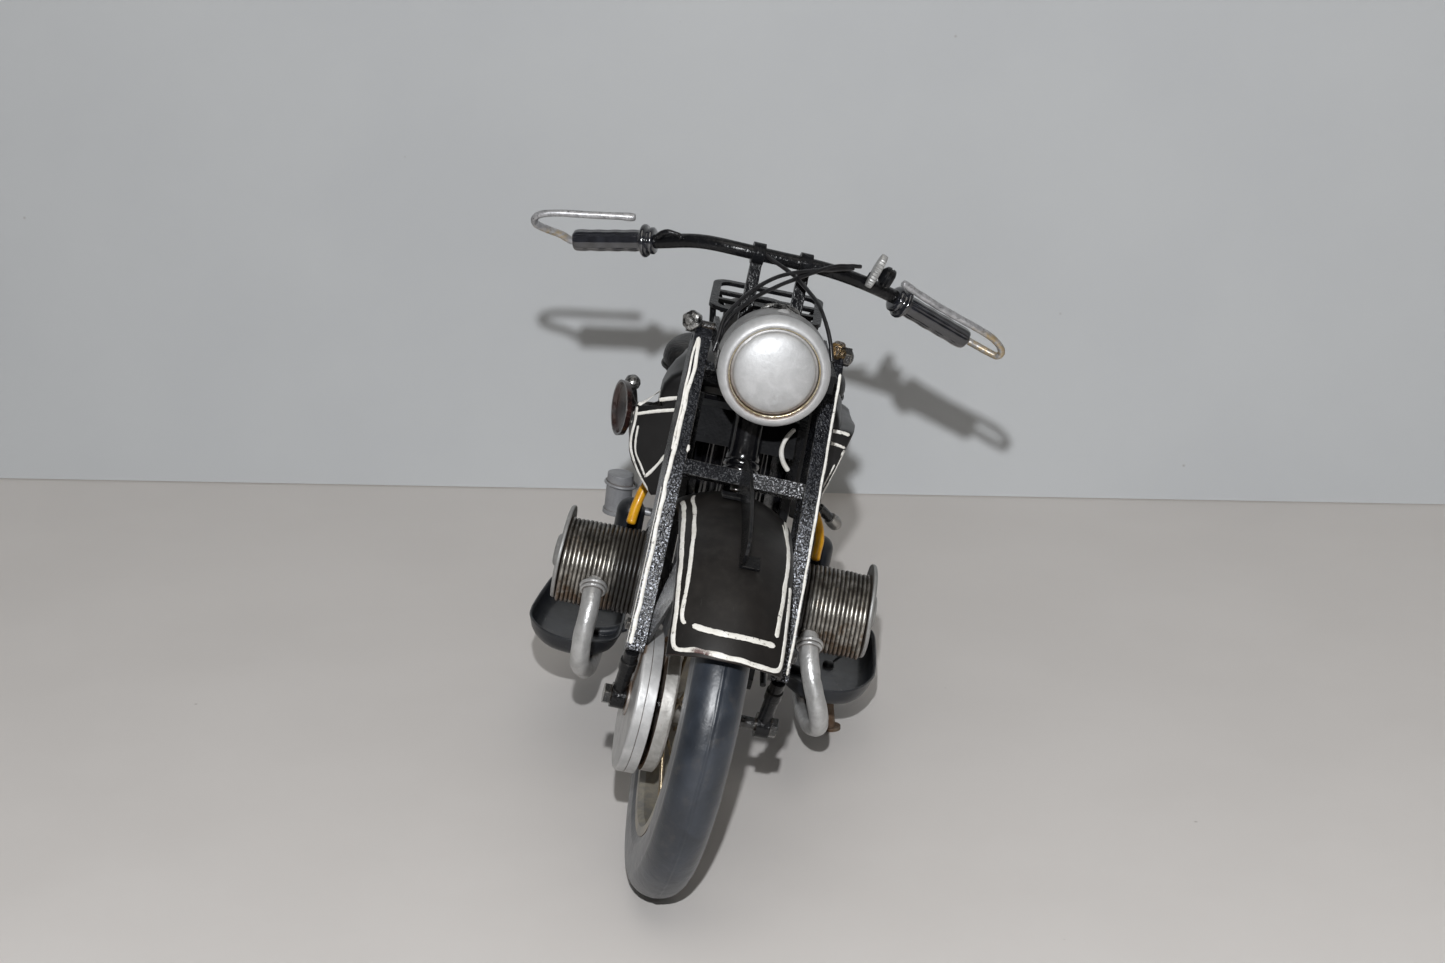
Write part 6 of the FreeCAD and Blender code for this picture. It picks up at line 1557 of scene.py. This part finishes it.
# ------------------------------------------------------------------ white loop and chips
geo = Geometry()
geo.tube([(10.8, -64, 108.6), (9.7, -64, 106.8), (8.9, -64, 104.3), (9, -64, 102),
          (9.9, -64, 99.9), (11.2, -64, 98.3)], 0.5, 10, 0.4, wobble=0.2, seed=3.0)
make("frame_cable_loop_white", geo, "frame", LINE)

# x, z, and the two half sizes of each chip on the right fork blade
CHIPS = ((-14, 110.4, 0.75, 0.35), (-13.5, 108.4, 0.5, 0.3), (-14.6, 102.2, 0.9, 0.4))
geo = Geometry()
for x, z, half_wide, half_tall in CHIPS:
    hit = cast(blades, "fork", vec(x, -95.0, z + 6.8), vec(0, 1, -0.34))
    if hit is None:     # the ray may pass beside the blade
        continue
    p, normal = hit
    _, side, cross = axis_frame(normal)
    geo.grid([[p + normal * height
               + (side * math.sin(t) * half_wide + cross * math.cos(t) * half_tall)
               * scale * (1 + 0.3 * ring_noise(t, 2, x)) for t in angles(14)]
              for scale, height in ((1.0, -0.05), (0.9, 0.1), (0.5, 0.16))], caps=True)
if geo.verts:
    make("fork_blade_chips", geo, "fork", LINE)

# ------------------------------------------------------------------ saddle
SADDLE_HALF = [(0, 22.6), (5.2, 23.6), (9, 28), (16.5, 34), (23.6, 39.4), (25.4, 46),
               (22, 55), (13, 59.6), (0, 60.6)]     # left half of the plan, (x, y)
SADDLE_CENTRE = vec(0, 44.5, 0)
SADDLE_RINGS = [    # (z, scale of the plan), underside to crown
    (83.9, 0.05), (83.7, 0.5), (83.6, 0.86), (83.7, 0.945), (84.1, 0.972), (84.6, 0.975),
    (84.9, 0.962), (85.2, 0.978), (85.9, 0.992), (87, 1), (88.4, 0.997), (89.6, 0.985),
    (90.6, 0.958), (91.3, 0.915), (91.8, 0.85), (92.2, 0.74), (92.5, 0.58), (92.6, 0.38),
    (92.65, 0.18), (92.65, 0.05)]
plan = SADDLE_HALF + [(-x, y) for x, y in SADDLE_HALF[::-1][1:-1]]
loop = spline([(x, y, 0) for x, y in plan], count=120, closed=True)[:-1]


def saddle_ring(z, scale):
    row = []
    for p in loop:
        q = SADDLE_CENTRE + (p - SADDLE_CENTRE) * scale
        dip = -1.3 * bell(q.y, 38, 10) * bell(q.x, 0, 16) if z > 88 else 0
        row.append(vec(q.x, q.y, z + 0.04 * (q.y - 30) + dip + 0.18 * ripple(q, 0.14, 4)))
    return row


geo = Geometry()
geo.grid([saddle_ring(*place) for place in SADDLE_RINGS], caps=True)
piping = [SADDLE_CENTRE + (p - SADDLE_CENTRE) * 0.992 for p in loop[::4]]
geo.tube([(p.x, p.y, 84.95 + 0.04 * (p.y - 30) + 0.1 * ripple(p, 0.1, 2)) for p in piping],
         0.42, 8, 0.6, closed=True)
make("saddle_padded", geo, "frame", SADDLE, "saddle")

# ------------------------------------------------------------------ camera
ELEVATION, AZIMUTH = math.radians(18.83), math.radians(3.19)
TARGET = (vec(12.36, -40, 83.11) + BIKE_ORIGIN) * MILLI
DISTANCE = 0.76736
view = vec(math.sin(AZIMUTH) * math.cos(ELEVATION), -math.cos(AZIMUTH) * math.cos(ELEVATION),
           math.sin(ELEVATION))
view_right = vec(math.cos(AZIMUTH), math.sin(AZIMUTH), 0)
view_up = view.cross(view_right)
eye = TARGET + view * DISTANCE
lens = bpy.data.cameras.new("camera")
lens.sensor_width = 36.0
lens.lens = 76.67128
lens.clip_start, lens.clip_end = 0.01, 20
camera = bpy.data.objects.new("camera", lens)
camera.matrix_world = (Matrix.Translation(eye)
                       @ Matrix((view_right, view_up, view)).transposed().to_4x4())
bpy.context.scene.collection.objects.link(camera)
bpy.context.scene.camera = camera


# ------------------------------------------------------------------ floor and wall
def stage_material(name, base, vary, rough, see_through=False):
    mat = Material(name)
    colour = mat.mottled(base, vary, size=60, detail=4, rough=0.5, low=0.3, high=0.7)
    specks = mat.mul(mat.cells(size=26.0, high=0.028, start=1.0, end=0.0), 0.5)
    colour = mat.mix(specks, colour, (0.2, 0.17, 0.15))
    normal = mat.bumpy(strength=0.06, depth=0.1, size=1.2, detail=4)
    mat.finish(Base_Color=colour, Roughness=rough, Normal=normal)
    if see_through:     # clear when seen from behind
        behind = mat.node("NewGeometry", output="Backfacing")
        mat.put(mat.output.inputs[0],
                mat.node("MixShader", {0: behind, 1: mat.shader.outputs[0],
                                       2: mat.node("BsdfTransparent")}))
    return mat.material


def sheet(name, profile, finish):
    """A sheet swept along X from (y, z) points; its front faces -Y and +Z."""
    mesh = bpy.data.meshes.new(name)
    bm = bmesh.new()
    rows = [[bm.verts.new((x, y, z)) for x in (-6, -3, -1, 0, 1, 3, 6)] for y, z in profile]
    for near, far in zip(rows, rows[1:]):
        for j in range(6):
            bm.faces.new((near[j], near[j + 1], far[j + 1], far[j])).smooth = True
    bm.to_mesh(mesh)
    bm.free()
    obj = bpy.data.objects.new(name, mesh)
    bpy.context.scene.collection.objects.link(obj)
    mesh.materials.append(finish)


sheet("stage_floor", [(y, 0.0) for y in (-6.0, -2.0, 0.0, 0.6, 2.0, 6.0)],
      stage_material("stage_pale", base=(0.705, 0.675, 0.65), vary=(0.73, 0.70, 0.675),
                     rough=0.55))
sheet("stage_wall", [(0.1935, 0.0004), (0.194, 0.0012), (0.1942, 0.3), (0.1942, 2.6)],
      stage_material("stage_wall_pale", base=(0.505, 0.522, 0.537), vary=(0.525, 0.542, 0.554),
                     rough=0.6, see_through=True))


# ------------------------------------------------------------------ light
def area(name, place, look, size, power, colour):
    light = bpy.data.lights.new(name, "AREA")
    light.shape = "DISK"
    light.size = size
    light.energy = power
    light.color = colour
    obj = bpy.data.objects.new(name, light)
    obj.location = place
    obj.rotation_mode = "QUATERNION"
    obj.rotation_quaternion = (Vector(look) - Vector(place)).to_track_quat("-Z", "Y")
    bpy.context.scene.collection.objects.link(obj)


area("key_front", eye + view_up * 0.096 - view_right * 0.006, look=(0.0, -0.02, 0.07),
     size=0.012, power=5.15, colour=(0.965, 0.978, 1.0))
area("soft_top", (0.1, -0.50, 1.05), look=(0, -0.25, 0.0), size=0.9, power=2.3,
     colour=(1.0, 0.95, 0.88))
area("soft_left", (-1.3, -0.1, 0.7), look=(0, 0, 0.07), size=0.8, power=0.45,
     colour=(1.0, 0.95, 0.89))
area("soft_right", (1.3, 0.0, 0.6), look=(0, 0, 0.07), size=0.8, power=0.40,
     colour=(1.0, 0.95, 0.89))
area("soft_back", (0.2, 1.1, 1.0), look=(0, 0.1, 0.05), size=0.9, power=0.9,
     colour=(1.0, 0.96, 0.91))
world = bpy.data.worlds.new("studio")
bpy.context.scene.world = world
world.use_nodes = True
background = world.node_tree.nodes["Background"]
background.inputs["Color"].default_value = (0.90, 0.87, 0.82, 1)
background.inputs["Strength"].default_value = 0.06
bpy.context.scene.view_settings.view_transform = "Standard"
